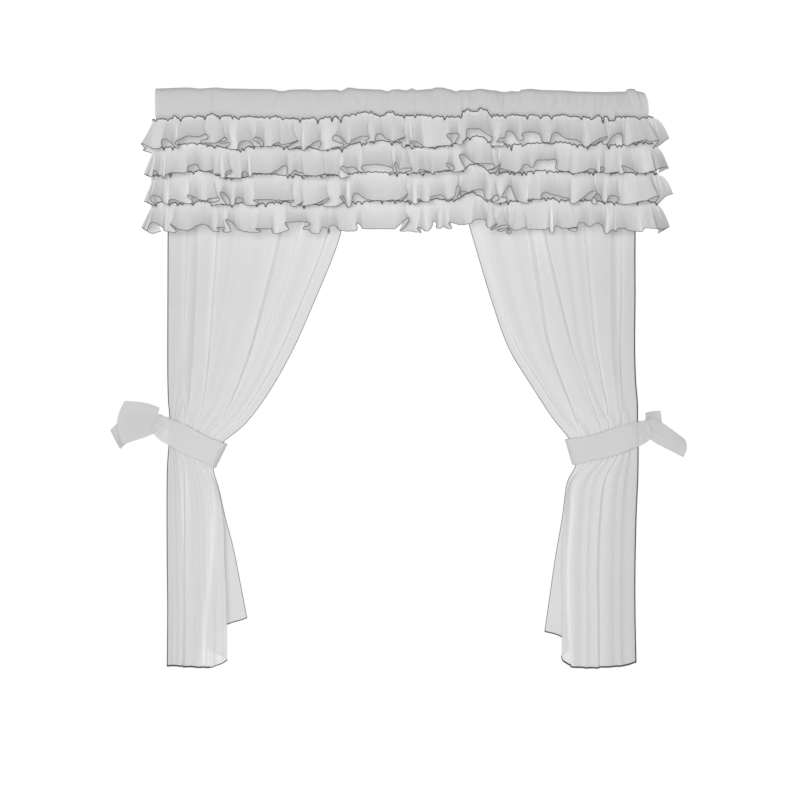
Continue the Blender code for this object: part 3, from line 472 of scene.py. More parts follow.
GIRTHS = tuple(Girth(*row) for row in (
    (0.0, 0.20, 0.72), (0.06, 0.40, 0.82), (0.12, 0.78, 0.91),
    (0.19, 1.0, 0.96), (0.27, 1.0, 1.0), (0.42, 1.0, 1.0), (0.58, 1.0, 1.0),
    (0.74, 1.0, 1.0), (0.87, 1.0, 1.0), (0.93, 0.93, 1.0), (0.97, 0.68, 1.0),
    (0.993, 0.25, 1.0),
))
LEFT_TAILS = (
    Tail((
        Station(-480, -630, -490, -680, 15), Station(-505, -621, -512, -689, 11),
        Station(-528, -618, -533, -696, 7), Station(-547.5, -617, -551.5, -703, 5),
    ), 12),
    Tail((
        Station(-483, -640, -487, -671, 19), Station(-525, -638, -527, -686, 20),
        Station(-556, -655, -549, -699, 19), Station(-577.5, -674, -563.5, -712.5, 18),
    ), 0, 29),
)
RIGHT_TAILS = (
    Tail((
        Station(484, -653, 490, -691, 15), Station(504, -654, 506, -702, 10),
        Station(530, -671, 530, -714, 7), Station(558, -692, 555, -727, 6),
    ), 5),
    Tail((
        Station(482, -641, 484, -670, 19), Station(492, -638, 494, -676, 23),
        Station(502, -637, 506, -680, 24), Station(513, -636, 517, -682, 23),
    ), 0),
)

# Creases that were pressed into the pocket's front as it was pushed along the rod.
POCKET_CREASES = tuple(Crease(*row) for row in (
    (-475, -20, -457, -48, 3.0, -1.6), (-455, -12, -447, -44, 5.0, 0.8),
    (-377, -1, -378, -50, 1.8, -1.8), (-368, -1, -369, -50, 1.8, -1.8),
    (-372.5, -1, -373, -50, 2.2, 1.4), (-330, -10, -318, -40, 6.0, 0.7),
    (-245, -12, -267, -46, 3.2, -1.8), (-235, -8, -250, -40, 4.0, 1.2),
    (-226, -14, -232, -48, 2.6, -1.2), (-196, -18, -181, -34, 3.0, -1.2),
    (-163, -16, -172, -48, 3.0, 1.0), (-138, -10, -148, -30, 2.6, -1.1),
    (-116, -3, -119, -26, 2.2, -1.8), (-109, -8, -100, -40, 3.2, 1.1),
    (-92, -12, -80, -32, 2.8, -1.2), (-62, -4, -66, -44, 2.6, -1.2),
    (-44, -8, -38, -38, 3.0, 1.0), (-22, -6, -24, -30, 2.2, -1.4),
    (-6, -14, -1, -46, 3.0, -0.9), (27, -10, 28, -50, 2.4, -1.5),
    (40, -6, 48, -36, 3.4, 1.1), (63, -4, 60, -26, 2.4, -1.0),
    (84, -8, 92, -42, 3.0, -1.1), (104, -6, 100, -30, 3.0, 0.9),
    (120, -8, 121, -40, 2.2, -1.9), (132, -6, 128, -34, 3.0, 1.2),
    (154, -8, 137, -26, 2.6, -1.6), (170, -6, 168, -46, 3.0, -1.0),
    (183, -4, 186, -30, 3.0, 1.0), (204, -9, 200, -48, 2.4, -1.7),
    (232, -10, 212, -42, 2.6, -1.5), (240, -14, 230, -48, 2.6, -1.3),
    (222, -6, 210, -30, 3.4, 1.2), (262, -10, 252, -36, 3.2, 1.0),
    (278, -12, 290, -44, 3.0, -1.0), (311, -18, 298, -46, 2.6, -1.6),
    (326, -10, 322, -42, 3.4, 1.0), (344, -14, 350, -46, 3.0, -0.9),
    (363, -12, 356, -50, 2.4, -1.6), (377, -8, 376, -44, 3.2, 1.1),
    (398, -8, 391, -54, 2.4, -1.8), (418, -16, 426, -46, 3.2, 0.9),
    (446, -10, 457, -48, 3.0, -1.7), (462, -6, 470, -40, 3.0, 1.2),
    (470, -16, 476, -50, 2.4, -1.4),
))


# Small sums


def mix(a: float, b: float, share: float) -> float:
    """The number that lies this share of the way from a to b."""
    return a + (b - a) * share


def clamp(value: float, low: float = 0.0, high: float = 1.0) -> float:
    """The value, kept between low and high."""
    return min(max(value, low), high)


def ease(share: float) -> float:
    """A share with a soft start and a soft stop."""
    return (1 - math.cos(math.pi * clamp(share))) / 2


def hump(distance: float, half: float) -> float:
    """A bell that is 1 at no distance and has nearly died at twice half its width."""
    return math.exp(-((distance / half) ** 2))


def catmull(before: Any, start: Any, stop: Any, after: Any, t: float) -> Any:
    """The number or vector on a smooth curve between start and stop.

    Args:
        before: The knot before start.
        start: The knot at t = 0.
        stop: The knot at t = 1.
        after: The knot after stop.
        t: The share of the way from start to stop.

    Returns:
        The value at t, of the knots' own type.
    """
    return 0.5 * (
        2 * start
        + (stop - before) * t
        + (2 * before - 5 * start + 4 * stop - after) * t**2
        + (3 * start - before - 3 * stop + after) * t**3
    )


def smooth_at(knots: Sequence[Any], place: float) -> Any:
    """The value of a smooth curve through evenly spaced knots.

    Args:
        knots: Numbers or vectors.
        place: Where to read the curve, from 0 to the last knot's number.

    Returns:
        The number or vector there.
    """
    last = len(knots) - 1
    low = int(clamp(math.floor(place), 0, last - 1))
    return catmull(
        knots[max(low - 1, 0)], knots[low], knots[low + 1], knots[min(low + 2, last)], place - low
    )


def edge_up(edge: Sequence[Rise], x: float) -> float:
    """How far up an uneven edge lies.

    Args:
        edge: The edge's table, in mm.
        x: The place along the rod, in metres.

    Returns:
        The rise there in metres, eased between the table's rows.
    """
    for near, far in zip(edge, edge[1:]):
        if x <= far.x * MM:
            return mix(near.up, far.up, ease((x / MM - near.x) / (far.x - near.x))) * MM
    return edge[-1].up * MM


def uneven_wave(x: float, pitch: float, seed: float) -> float:
    """A wave whose pitch and height wander, as gathers do.

    Args:
        x: The place along the cloth, in metres.
        pitch: The mean distance from crest to crest, in metres.
        seed: A number that shifts the wander.

    Returns:
        A height from about -1 to 1.
    """
    turn = 2 * math.pi * x / pitch
    wander = 1.9 * math.sin(turn / 4.3 + seed) + 1.1 * math.sin(turn / 7.9 + 2.3 * seed)
    strength = 0.72 + 0.28 * math.sin(turn / 5.7 + 3.1 * seed)
    return math.sin(turn + wander) * strength


def pleat_wave(pleats: Sequence[Pleat], share: float) -> float:
    """How far a pleated cloth stands off its middle.

    Args:
        pleats: The folds across the cloth.
        share: The place across it, from 0 to 1.

    Returns:
        The offset as a share of the row's swing, from -1 to 1.
    """
    total = sum(pleat.width for pleat in pleats)
    done = 0.0
    for pleat in pleats:
        part = pleat.width / total
        if share <= done + part or pleat is pleats[-1]:
            return math.sin(2 * math.pi * (share - done) / part) * pleat.deep
        done += part
    return 0.0


def crease_out(creases: Iterable[Crease], x: float, z: float) -> float:
    """How far pressed creases move a cloth's face.

    Args:
        creases: The creases, in mm.
        x: The place along the rod, in metres.
        z: The height, in metres.

    Returns:
        The offset away from the cloth's middle, in metres.
    """
    total = 0.0
    for crease in creases:
        reach = 3 * crease.half
        if not min(crease.x0, crease.x1) - reach < x / MM < max(crease.x0, crease.x1) + reach:
            continue
        run = Vector((crease.x1 - crease.x0, crease.z1 - crease.z0))
        from_start = Vector((x / MM - crease.x0, z / MM - crease.z0))
        along = clamp(from_start.dot(run) / run.length_squared)
        fade = math.sin(math.pi * clamp(0.12 + 0.76 * along))
        total += crease.out * MM * fade * hump((from_start - run * along).length, crease.half)
    return total


def head_line(number: int, x: float) -> float:
    """The height of a ruffle's head.

    Args:
        number: Which ruffle it is, from 0 at the top.
        x: The place along the rod.

    Returns:
        The height of the head's general line there.
    """
    line = HEADS[number].line
    for near, far in zip(line, line[1:]):
        if x <= far[0] * GRID:
            break
    return -mix(near[1], far[1], ease((x / GRID - near[0]) / (far[0] - near[0]))) * GRID


# Finishes


def srgb(code: str) -> tuple[float, float, float, float]:
    """Turns an sRGB hex colour into a linear one.

    Args:
        code: Six hex digits after a hash.

    Returns:
        Linear red, green and blue, and an alpha of 1.
    """
    parts = [int(code[i : i + 2], 16) / 255 for i in (1, 3, 5)]
    linear = [p / 12.92 if p <= 0.04045 else ((p + 0.055) / 1.055) ** 2.4 for p in parts]
    return (*linear, 1.0)


def add_node(
    tree: NodeTree, kind: str, inputs: dict[Any, Any] | None = None, **settings: Any
) -> Node:
    """Adds a node with its settings and links.

    Args:
        tree: The node tree.
        kind: The node's type name, without the word ShaderNode before it.
        inputs: A value, or a socket to link, for each input by its name or number.
        **settings: Properties of the node itself.

    Returns:
        The new node.
    """
    node = tree.nodes.new(f"ShaderNode{kind}")
    for name, value in settings.items():
        setattr(node, name, value)
    for key, value in (inputs or {}).items():
        if isinstance(value, NodeSocket):
            tree.links.new(value, node.inputs[key])
        else:
            node.inputs[key].default_value = value
    return node


def bare_material(name: str) -> Material:
    """A new material with an empty node tree."""
    material = bpy.data.materials.new(name)
    material.use_nodes = True
    material.node_tree.nodes.clear()
    return material


# A wave texture runs through one period in this many of its own units at scale 1.
WAVE_PERIOD = math.pi / 10

# The least and the most that the two noises of the slubs come to together, and the tone of the
# thickest yarns.
THIN_YARN = 0.6
THICK_YARN = 1.4
SLUB_TONE = (0.965, 0.965, 0.965, 1.0)


@dataclass(frozen=True)
class Voile:
    """Polyester voile: plain-woven, crisp and matt, in one layer or in the layers it is sewn to.

    Attributes:
        yarn: The yarn's colour as sRGB hex.
        cover: The share of the light that the cloth stops.
        glow: The share of the stopped light that comes through the yarn.
        slub: How much more or less the thick and thin yarns cover.
        bunched: The share of the light that is stopped where the cloth is most bunched.
        shaded: The darker colour the cloth is given where it is most bunched: painted shade,
            standing in for the shade its layers cast on each other.
        closing: How much of its clearness the cloth loses where it lies in layers.
        thread_spacing: The distance from yarn to yarn.
        weave_height: How far a yarn stands out.
        weave_share: How much of the clear share lies in the gaps between the yarns.
        slub_width: The distance from one thick yarn to the next.
        slub_length: How long a yarn stays thick.
        rumple: The height of the small dents left by handling.
        rumple_size: The distance from dent to dent.
    """

    name: str
    yarn: str
    cover: float
    glow: float
    slub: float
    bunched: float = 0.98
    shaded: str = "#E6E6E6"
    closing: float = 0.45
    thread_spacing: float = 0.0012
    weave_height: float = 0.00008
    weave_share: float = 0.06
    slub_width: float = 0.0045
    slub_length: float = 0.14
    rumple: float = 0.0005
    rumple_size: float = 0.016

    def yarns(self, tree: NodeTree, cloth: NodeSocket) -> tuple[NodeSocket, NodeSocket]:
        """The thick and the crossing yarns.

        Args:
            tree: The material's nodes.
            cloth: The place on the cloth.

        Returns:
            How thick the yarns of both ways are together, about 1 in the mean, and the weave,
            from 0 in the gaps to 1 on a yarn.
        """
        # A slub is a thick yarn that thins out again along its own length. Slubs are the part of
        # the weave that an eye a few steps away still sees.
        across, along = 1 / self.slub_width, 1 / self.slub_length
        slubs = []
        for scale in ((across, along, 1), (along, across, 1)):
            stretched = add_node(tree, "Mapping", {"Vector": cloth, "Scale": scale}).outputs[0]
            slubs.append(add_node(
                tree, "TexNoise", {"Vector": stretched, "Scale": 1.0, "Detail": 2.0}
            ).outputs["Fac"])
        # Real voile has a yarn every 0.4 mm. The weave is drawn three times as coarse, so that it
        # shows in a close view.
        fine = WAVE_PERIOD / self.thread_spacing
        threads = [
            add_node(
                tree, "TexWave", {"Vector": cloth, "Scale": fine, "Distortion": 0.0},
                bands_direction=direction,
            ).outputs["Fac"]
            for direction in ("X", "Y")
        ]
        return (
            add_node(tree, "Math", {0: slubs[0], 1: slubs[1]}, operation="ADD").outputs[0],
            add_node(tree, "Math", {0: threads[0], 1: threads[1]}, operation="MAXIMUM").outputs[0],
        )

    def colour(
        self, tree: NodeTree, slubs: NodeSocket, drawn: NodeSocket,
        layered: NodeSocket,
    ) -> NodeSocket:
        """The colour of the cloth's face, with painted shade where it is bunched and painted light
        where cloth lies close behind.

        Args:
            tree: The material's nodes.
            slubs: How thick the yarns are.
            drawn: How bunched the cloth is, which darkens its colour towards the shaded tone as
                painted shade.
            layered: How much cloth lies close behind, which whitens its colour as painted light.

        Returns:
            The colour.
        """
        # Painted shade: where the cloth is bunched, its colour is darkened towards the shaded tone,
        # standing in for the shade its layers cast on each other.
        with_painted_shade = add_node(
            tree, "Mix", {"Factor": drawn, 6: srgb(self.yarn), 7: srgb(self.shaded)},
            data_type="RGBA",
        ).outputs[2]
        # Painted light: where layers lie close behind, the colour is mixed towards white, standing
        # in for the light they pass on to the front one.
        with_painted_light = add_node(
            tree, "Mix", {"Factor": layered, 6: with_painted_shade, 7: WHITE}, data_type="RGBA"
        ).outputs[2]
        shade = add_node(
            tree, "MapRange",
            {"Value": slubs, "From Min": THIN_YARN, "From Max": THICK_YARN, "To Min": 0.0,
             "To Max": 1.0},
        ).outputs["Result"]
        return add_node(
            tree, "Mix", {"Factor": shade, 6: with_painted_light, 7: SLUB_TONE},
            data_type="RGBA", blend_type="MULTIPLY",
        ).outputs[2]

    def stopped(
        self, tree: NodeTree, slubs: NodeSocket, weave: NodeSocket,
        drawn: NodeSocket, layered: NodeSocket,
    ) -> NodeSocket:
        """The share of the light that the cloth stops.

        Args:
            tree: The material's nodes.
            slubs: How thick the yarns are.
            weave: Where the yarns are.
            drawn: How bunched the cloth is, by gathers finer than the mesh.
            layered: How much cloth lies close behind.

        Returns:
            The share.
        """
        closed = add_node(
            tree, "Math", {0: layered, 1: self.closing, 2: drawn},
            operation="MULTIPLY_ADD", use_clamp=True,
        ).outputs[0]
        base_cover = add_node(tree, "MapRange", {
            "Value": closed, "To Min": self.cover - self.slub, "To Max": self.bunched - self.slub,
        }).outputs["Result"]
        slub_cover = add_node(tree, "MapRange", {
            "Value": slubs, "From Min": THIN_YARN, "From Max": THICK_YARN, "To Min": 0.0,
            "To Max": 2 * self.slub,
        }).outputs["Result"]
        yarn_cover = add_node(
            tree, "Math", {0: base_cover, 1: slub_cover}, operation="ADD"
        ).outputs[0]
        return add_node(
            tree, "Math",
            {0: weave, 1: self.weave_share * (1 - self.cover), 2: yarn_cover},
            operation="MULTIPLY_ADD", use_clamp=True,
        ).outputs[0]

    def make(self) -> Material:
        """Builds the material.

        Returns:
            The material. It reads the cloth's UV map, which is in metres, and the two numbers
            that a mesh may carry at its points, `bunched` and `layered`.
        """
        material = bare_material(self.name)
        tree = material.node_tree
        cloth = add_node(tree, "UVMap", uv_map="cloth").outputs["UV"]
        drawn, layered = (
            add_node(tree, "Attribute", attribute_name=name).outputs["Fac"]
            for name in ("bunched", "layered")
        )
        slubs, weave = self.yarns(tree, cloth)
        dents = add_node(
            tree, "TexNoise",
            {"Vector": cloth, "Scale": 1 / self.rumple_size, "Detail": 3.0, "Roughness": 0.45},
        ).outputs["Fac"]
        rough_height = add_node(
            tree, "Math", {0: dents, 1: self.rumple}, operation="MULTIPLY"
        ).outputs[0]
        height = add_node(
            tree, "Math", {0: weave, 1: self.weave_height, 2: rough_height},
            operation="MULTIPLY_ADD",
        ).outputs[0]
        bump = add_node(
            tree, "Bump", {"Height": height, "Strength": 1.0, "Distance": 1.0}
        ).outputs["Normal"]
        roughness = add_node(
            tree, "MapRange",
            {"Value": dents, "From Min": 0.3, "From Max": 0.7, "To Min": 0.78, "To Max": 0.90},
        ).outputs["Result"]
        colour = self.colour(tree, slubs, drawn, layered)
        face = add_node(tree, "BsdfPrincipled", {
            "Base Color": colour, "Roughness": roughness, "Normal": bump, "IOR": 1.5,
            "Specular IOR Level": 0.25, "Sheen Weight": 0.08, "Sheen Roughness": 0.5,
        }).outputs[0]
        through = add_node(tree, "BsdfTranslucent", {"Color": colour, "Normal": bump}).outputs[0]
        lit = add_node(tree, "MixShader", {0: self.glow, 1: face, 2: through}).outputs[0]
        stopped = self.stopped(tree, slubs, weave, drawn, layered)
        clear = add_node(tree, "BsdfTransparent").outputs[0]
        whole = add_node(tree, "MixShader", {0: stopped, 1: clear, 2: lit}).outputs[0]
        add_node(tree, "OutputMaterial", {"Surface": whole})
        return material


@dataclass(frozen=True)
class SpunThread:
    """Spun polyester sewing thread, dyed and twisted, with a soft matt face.

    Attributes:
        dye: The thread's colour as sRGB hex.
        ply_pitch: The distance from one twist of the thread to the next.
        worn: How far its palest fibres are on the way to white.
    """

    name: str
    dye: str
    ply_pitch: float = 0.0015
    worn: float = 0.10

    def make(self) -> Material:
        """Builds the material.

        Returns:
            The material. It reads the thread's UV map, in metres along the edge and round it.
        """
        material = bare_material(self.name)
        tree = material.node_tree
        run = add_node(tree, "UVMap", uv_map="cloth").outputs["UV"]
        # A thread's twist is 0.5 mm long. It is drawn three times as long, to show close up.
        ply = add_node(
            tree, "TexWave",
            {"Vector": run, "Scale": WAVE_PERIOD / self.ply_pitch, "Distortion": 0.6,
             "Detail": 1.0},
            bands_direction="DIAGONAL",
        ).outputs["Fac"]
        wear = add_node(
            tree, "TexNoise", {"Vector": run, "Scale": 60.0, "Detail": 2.0}
        ).outputs["Fac"]
        dark = srgb(self.dye)
        pale = (*(mix(channel, 1.0, self.worn) for channel in dark[:3]), 1.0)
        colour = add_node(
            tree, "Mix", {"Factor": wear, 6: dark, 7: pale}, data_type="RGBA"
        ).outputs[2]
        bump = add_node(
            tree, "Bump", {"Height": ply, "Strength": 0.6, "Distance": 0.0002}
        ).outputs["Normal"]
        roughness = add_node(
            tree, "MapRange", {"Value": ply, "To Min": 0.62, "To Max": 0.80}
        ).outputs["Result"]
        face = add_node(tree, "BsdfPrincipled", {
            "Base Color": colour, "Roughness": roughness, "Normal": bump, "IOR": 1.5,
            "Sheen Weight": 0.1,
        }).outputs[0]
        add_node(tree, "OutputMaterial", {"Surface": face})
        return material


@dataclass(frozen=True)
class MattPaint:
    """Matt emulsion, rolled on, for the studio's floor.

    Attributes:
        tint: The paint's colour as sRGB hex.
    """

    name: str
    tint: str

    def make(self) -> Material:
        """Builds the material.

        Returns:
            The material, with the faint stipple of a roller.
        """
        material = bare_material(self.name)
        tree = material.node_tree
        place = add_node(tree, "TexCoord").outputs["Object"]
        stipple = add_node(
            tree, "TexNoise", {"Vector": place, "Scale": 250.0, "Detail": 2.0}
        ).outputs["Fac"]
        bump = add_node(
            tree, "Bump", {"Height": stipple, "Strength": 0.2, "Distance": 0.0005}
        ).outputs["Normal"]
        face = add_node(tree, "BsdfPrincipled", {
            "Base Color": srgb(self.tint), "Roughness": 0.9, "Normal": bump,
        }).outputs[0]
        add_node(tree, "OutputMaterial", {"Surface": face})
        return material


class Finish(Enum):
    """The finishes of the set."""

    # One layer, so what lies behind still shows as a pale shape. Where cloth lies in layers, its
    # colour is whitened as painted light, and where it is bunched it is darkened as painted shade.
    SHEER_VOILE = Voile(
        "woven_polyester_voile_single", "#E6E6E6", cover=0.71, glow=0.07, slub=0.012,
        bunched=0.90, shaded="#E3E3E3",
    )
    # Bunched by its gathers: nearly closed to the eye, with a soft light that comes through.
    GATHERED_VOILE = Voile(
        "woven_polyester_voile_gathered", "#F9F9F9", cover=0.97, glow=0.045, slub=0.010
    )
    # Folded double: flat, even and the least clear of the three.
    DOUBLED_VOILE = Voile(
        "woven_polyester_voile_doubled", "#EDEDED", cover=0.97, glow=0.15, slub=0.012,
        rumple=0.0008, rumple_size=0.022,
    )
    # Pulled tight round the panel, whose folds show through faintly. The free ends are double, and
    # they and the knot take the darker shaded colour, a painted shade.
    TIE_VOILE = Voile(
        "woven_polyester_voile_pulled_tight", "#FAFAFA", cover=0.78, glow=0.07, slub=0.012,
        bunched=0.98, shaded="#E8E8E8", rumple=0.0008, rumple_size=0.022,
    )
    # Thick looped edging: a dark, slightly fuzzy line against the white cloth.
    DARK_OVERLOCK = SpunThread("spun_polyester_thread_charcoal", "#3E3E40")
    # Seams sewn in the cloth's own colour: small pale dashes.
    SEAM_THREAD = SpunThread("spun_polyester_thread_white", "#DEDEDE", ply_pitch=0.001)
    # Even and pale, so that it throws soft light up and draws no eye.
    STUDIO_FLOOR = MattPaint("rolled_matt_emulsion_paint", "#E9E9E9")


class Wardrobe:
    """The materials of the set, each made once."""

    def __init__(self) -> None:
        """Makes every finish."""
        self.made = {finish: finish.value.make() for finish in Finish}

    def dress(self, obj: Object, finish: Finish) -> None:
        """Gives an object a finish.

        Args:
            obj: The object, whose materials are replaced.
            finish: What it is made of.
        """
        obj.data.materials.clear()
        obj.data.materials.append(self.made[finish])


# Meshes


def put_in_scene(name: str, mesh: Mesh) -> Object:
    """Makes an object of a mesh, shaded smooth, and puts it in the scene."""
    mesh.shade_smooth()
    obj = bpy.data.objects.new(name, mesh)
    bpy.context.scene.collection.objects.link(obj)
    return obj


def measured(points: Line, closed: bool = False) -> list[float]:
    """The distance from the first point to each other one along a line.

    Args:
        points: The line's points.
        closed: Whether the line comes back to its first point.

    Returns:
        The distances, with one more for the way back if the line is closed.
    """
    line = [*points, points[0]] if closed else points
    run = [0.0]
    for near, far in zip(line, line[1:]):
        run.append(run[-1] + (far - near).length)
    return run


def walk(run: Sequence[float], distance: float, at: int) -> tuple[int, float]:
    """Walks on along a measured line.

    Args:
        run: The distance of each of its points from the first.
        distance: How far to go from the first point.
        at: The number of the last point that was passed.

    Returns:
        The number of the last point passed now, and the share of the way to the next one.
    """
    while at < len(run) - 2 and run[at + 1] < distance:
        at += 1
    return at, clamp((distance - run[at]) / max(run[at + 1] - run[at], TINY))


def mapped_mesh(
    name: str, verts: Line, faces: Sequence[tuple[int, ...]],
    places: Sequence[Pair],
) -> Mesh:
    """A mesh with a UV map.

    Args:
        name: The mesh's name.
        verts: Its points.
        faces: The numbers of each face's points.
        places: The UV of every face's corners in turn, in metres.

    Returns:
        The mesh.
    """
    mesh = bpy.data.meshes.new(name)
    mesh.from_pydata(verts, [], faces)
    layer = mesh.uv_layers.new(name="cloth")
    layer.data.foreach_set("uv", [number for place in places for number in place])
    return mesh


def mark(mesh: Mesh, name: str, values: Sequence[float]) -> None:
    """Gives every point of a mesh a number that its material reads."""
    mesh.attributes.new(name=name, type="FLOAT", domain="POINT").data.foreach_set("value", values)


def cloth_mesh(name: str, rows: Sequence[Line], ring: bool = False) -> Mesh:
    """An open sheet through rows of points, with a UV map in metres.

    Args:
        name: The mesh's name.
        rows: The points, row by row.
        ring: Whether each row's ends are joined.

    Returns:
        The mesh. Its UVs are measured along the middle row and down the middle column.
    """
    count = len(rows[0])
    along = measured(rows[len(rows) // 2], ring)
    down = measured([row[count // 2] for row in rows])
    faces, places = [], []
    for j in range(len(rows) - 1):
        for i in range(count if ring else count - 1):
            far = (i + 1) % count
            faces.append((
                j * count + i, j * count + far, (j + 1) * count + far, (j + 1) * count + i
            ))
            places += [
                (along[i], -down[j]), (along[i + 1], -down[j]),
                (along[i + 1], -down[j + 1]), (along[i], -down[j + 1]),
            ]
    return mapped_mesh(name, [point for row in rows for point in row], faces, places)


def join_meshes(name: str, meshes: Sequence[Mesh]) -> Mesh:
    """Puts several meshes into one.

    Args:
        name: The new mesh's name.
        meshes: The meshes, which are removed.

    Returns:
        The mesh that holds them all, with their UV maps.
    """
    shape = bmesh.new()
    for mesh in meshes:
        shape.from_mesh(mesh)
        bpy.data.meshes.remove(mesh)
    whole = bpy.data.meshes.new(name)
    shape.to_mesh(whole)
    shape.free()
    return whole


@dataclass
class Edging:
    """An overlocked edge: thread looped round the raw edge of a cloth, stitch by stitch.

    Attributes:
        half_width: Half the edging's width in the plane of the cloth.
        half_thickness: Half its thickness.
        stitch: The distance from loop to loop.
        relief: How much each loop swells.
        step: The distance between its rings.
    """

    half_width: float = 0.00058
    half_thickness: float = 0.00052
    stitch: float = 0.0034
    relief: float = 0.20
    sides: int = 6
    step: float = 0.0011

    def along(self, edge: Line, inside: Line) -> Mesh:
        """Loops thread round one edge.

        Args:
            edge: The points of the cloth's edge.
            inside: For each of them, a point of the cloth a little way in.

        Returns:
            A closed tube along the edge.
        """
        run = measured(edge)
        count = max(int(run[-1] / self.step), 2)
        verts, faces, places = [], [], []
        at = 0
        ahead = Vector((1.0, 0.0, 0.0))
        for i in range(count + 1):
            distance = run[-1] * i / count
            at, share = walk(run, distance, at)
            centre = edge[at].lerp(edge[at + 1], share)
            inward = inside[at].lerp(inside[at + 1], share) - centre
            step = edge[at + 1] - edge[at]
            if step.length > TINY:
                ahead = step.normalized()
            inward = inward - ahead * inward.dot(ahead)
            inward = inward.normalized() if inward.length > TINY else Vector((0.0, 0.0, 1.0))
            square = ahead.cross(inward).normalized()
            loop = 2 * math.pi * distance / self.stitch
            swell = 1 + self.relief * math.sin(loop)
            for side in range(self.sides):
                turn = 2 * math.pi * side / self.sides
                verts.append(
                    centre
                    + inward * self.half_width * (0.5 + math.cos(turn) * swell)
                    + square * self.half_thickness * math.sin(turn) * swell
                )
        ring_length = math.pi * (self.half_width + self.half_thickness)
        for i in range(count):
            for side in range(self.sides):
                far = (side + 1) % self.sides
                low, high = i * self.sides, (i + 1) * self.sides
                faces.append((low + side, low + far, high + far, high + side))
                u0, u1 = run[-1] * i / count, run[-1] * (i + 1) / count
                v0, v1 = (ring_length * k / self.sides for k in (side, side + 1))
                places += [(u0, v0), (u0, v1), (u1, v1), (u1, v0)]
        faces.append(tuple(reversed(range(self.sides))))
        faces.append(tuple(range(count * self.sides, (count + 1) * self.sides)))
        places += [(0.0, 0.0)] * (2 * self.sides)
        return mapped_mesh("edging", verts, faces, places)

    def sew(self, name: str, runs: Sequence[tuple[Line, Line]]) -> Object:
        """Makes one object of the edging along several edges.

        Args:
            name: The object's name.
            runs: The edge and the points inside it, for each run.

        Returns:
            The object.
        """
        meshes = [self.along(edge, inside) for edge, inside in runs]
        return put_in_scene(name, join_meshes(name, meshes))


@dataclass
class Stitching:
    """A row of lockstitches: short thread dashes that lie on the cloth.

    Attributes:
        length: The length of a stitch that shows.
        pitch: The distance from one stitch to the next.
        girth: How much of the thread's UV map one side of a stitch takes.
    """

    length: float = 0.0026
    pitch: float = 0.0036
    radius: float = 0.00035
    girth: float = 0.0005

    def along(self, line: Line, outward: Vector) -> Mesh:
        """Sews one row.

        Args:
            line: The points of the seam.
            outward: The side of the cloth on which the stitches lie.

        Returns:
            The stitches as small closed lozenges.
        """
        run = measured(line)
        verts, faces, places = [], [], []
        at = 0
        for number in range(int(run[-1] / self.pitch)):
            ends = []
            for distance in (number * self.pitch, number * self.pitch + self.length):
                at, share = walk(run, distance, at)
                ends.append(line[at].lerp(line[at + 1], share))
            ahead = (ends[1] - ends[0]).normalized()
            across = ahead.cross(outward).normalized()
            middle = (ends[0] + ends[1]) / 2 + outward * self.radius
            first = len(verts)
            verts += [
                ends[0], middle + across * self.radius, middle + outward * self.radius,
                middle - across * self.radius, middle - outward * self.radius, ends[1],
            ]
            for side in range(4):
                far = (side + 1) % 4
                faces.append((first, first + 1 + far, first + 1 + side))
                faces.append((first + 5, first + 1 + side, first + 1 + far))
                half = self.length / 2
                places += [(0.0, 0.0), (half, 0.0), (half, self.girth)] * 2
        return mapped_mesh("stitches", verts, faces, places)


@dataclass
class Piece:
    """What every piece of the set shares: its CAD node, its finish and a material slot's name.

    Attributes:
        node: The CAD node that the piece stands for.
        slot: A material slot's name. It is not used.
        wardrobe: The materials.
    """

    node: str
    slot: str
    wardrobe: Wardrobe

    def place(self, obj: Object, finish: Finish) -> Object:
        """Dresses the main cloth and puts it on the frame in its solid's place.

        Args:
            obj: The cloth.
            finish: What it is made of.

        Returns:
            The same object.
        """
        self.wardrobe.dress(obj, finish)
        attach(obj, BODY)
        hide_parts(self.node)
        return obj

    def add_trim(self, obj: Object, cloth: Object, finish: Finish) -> Object:
        """Dresses a trim and hangs it on its cloth.

        Args:
            obj: The trim.
            cloth: The cloth that carries it.
            finish: What it is made of.

        Returns:
            The trim.
        """
        self.wardrobe.dress(obj, finish)
        obj.parent = cloth
        return obj


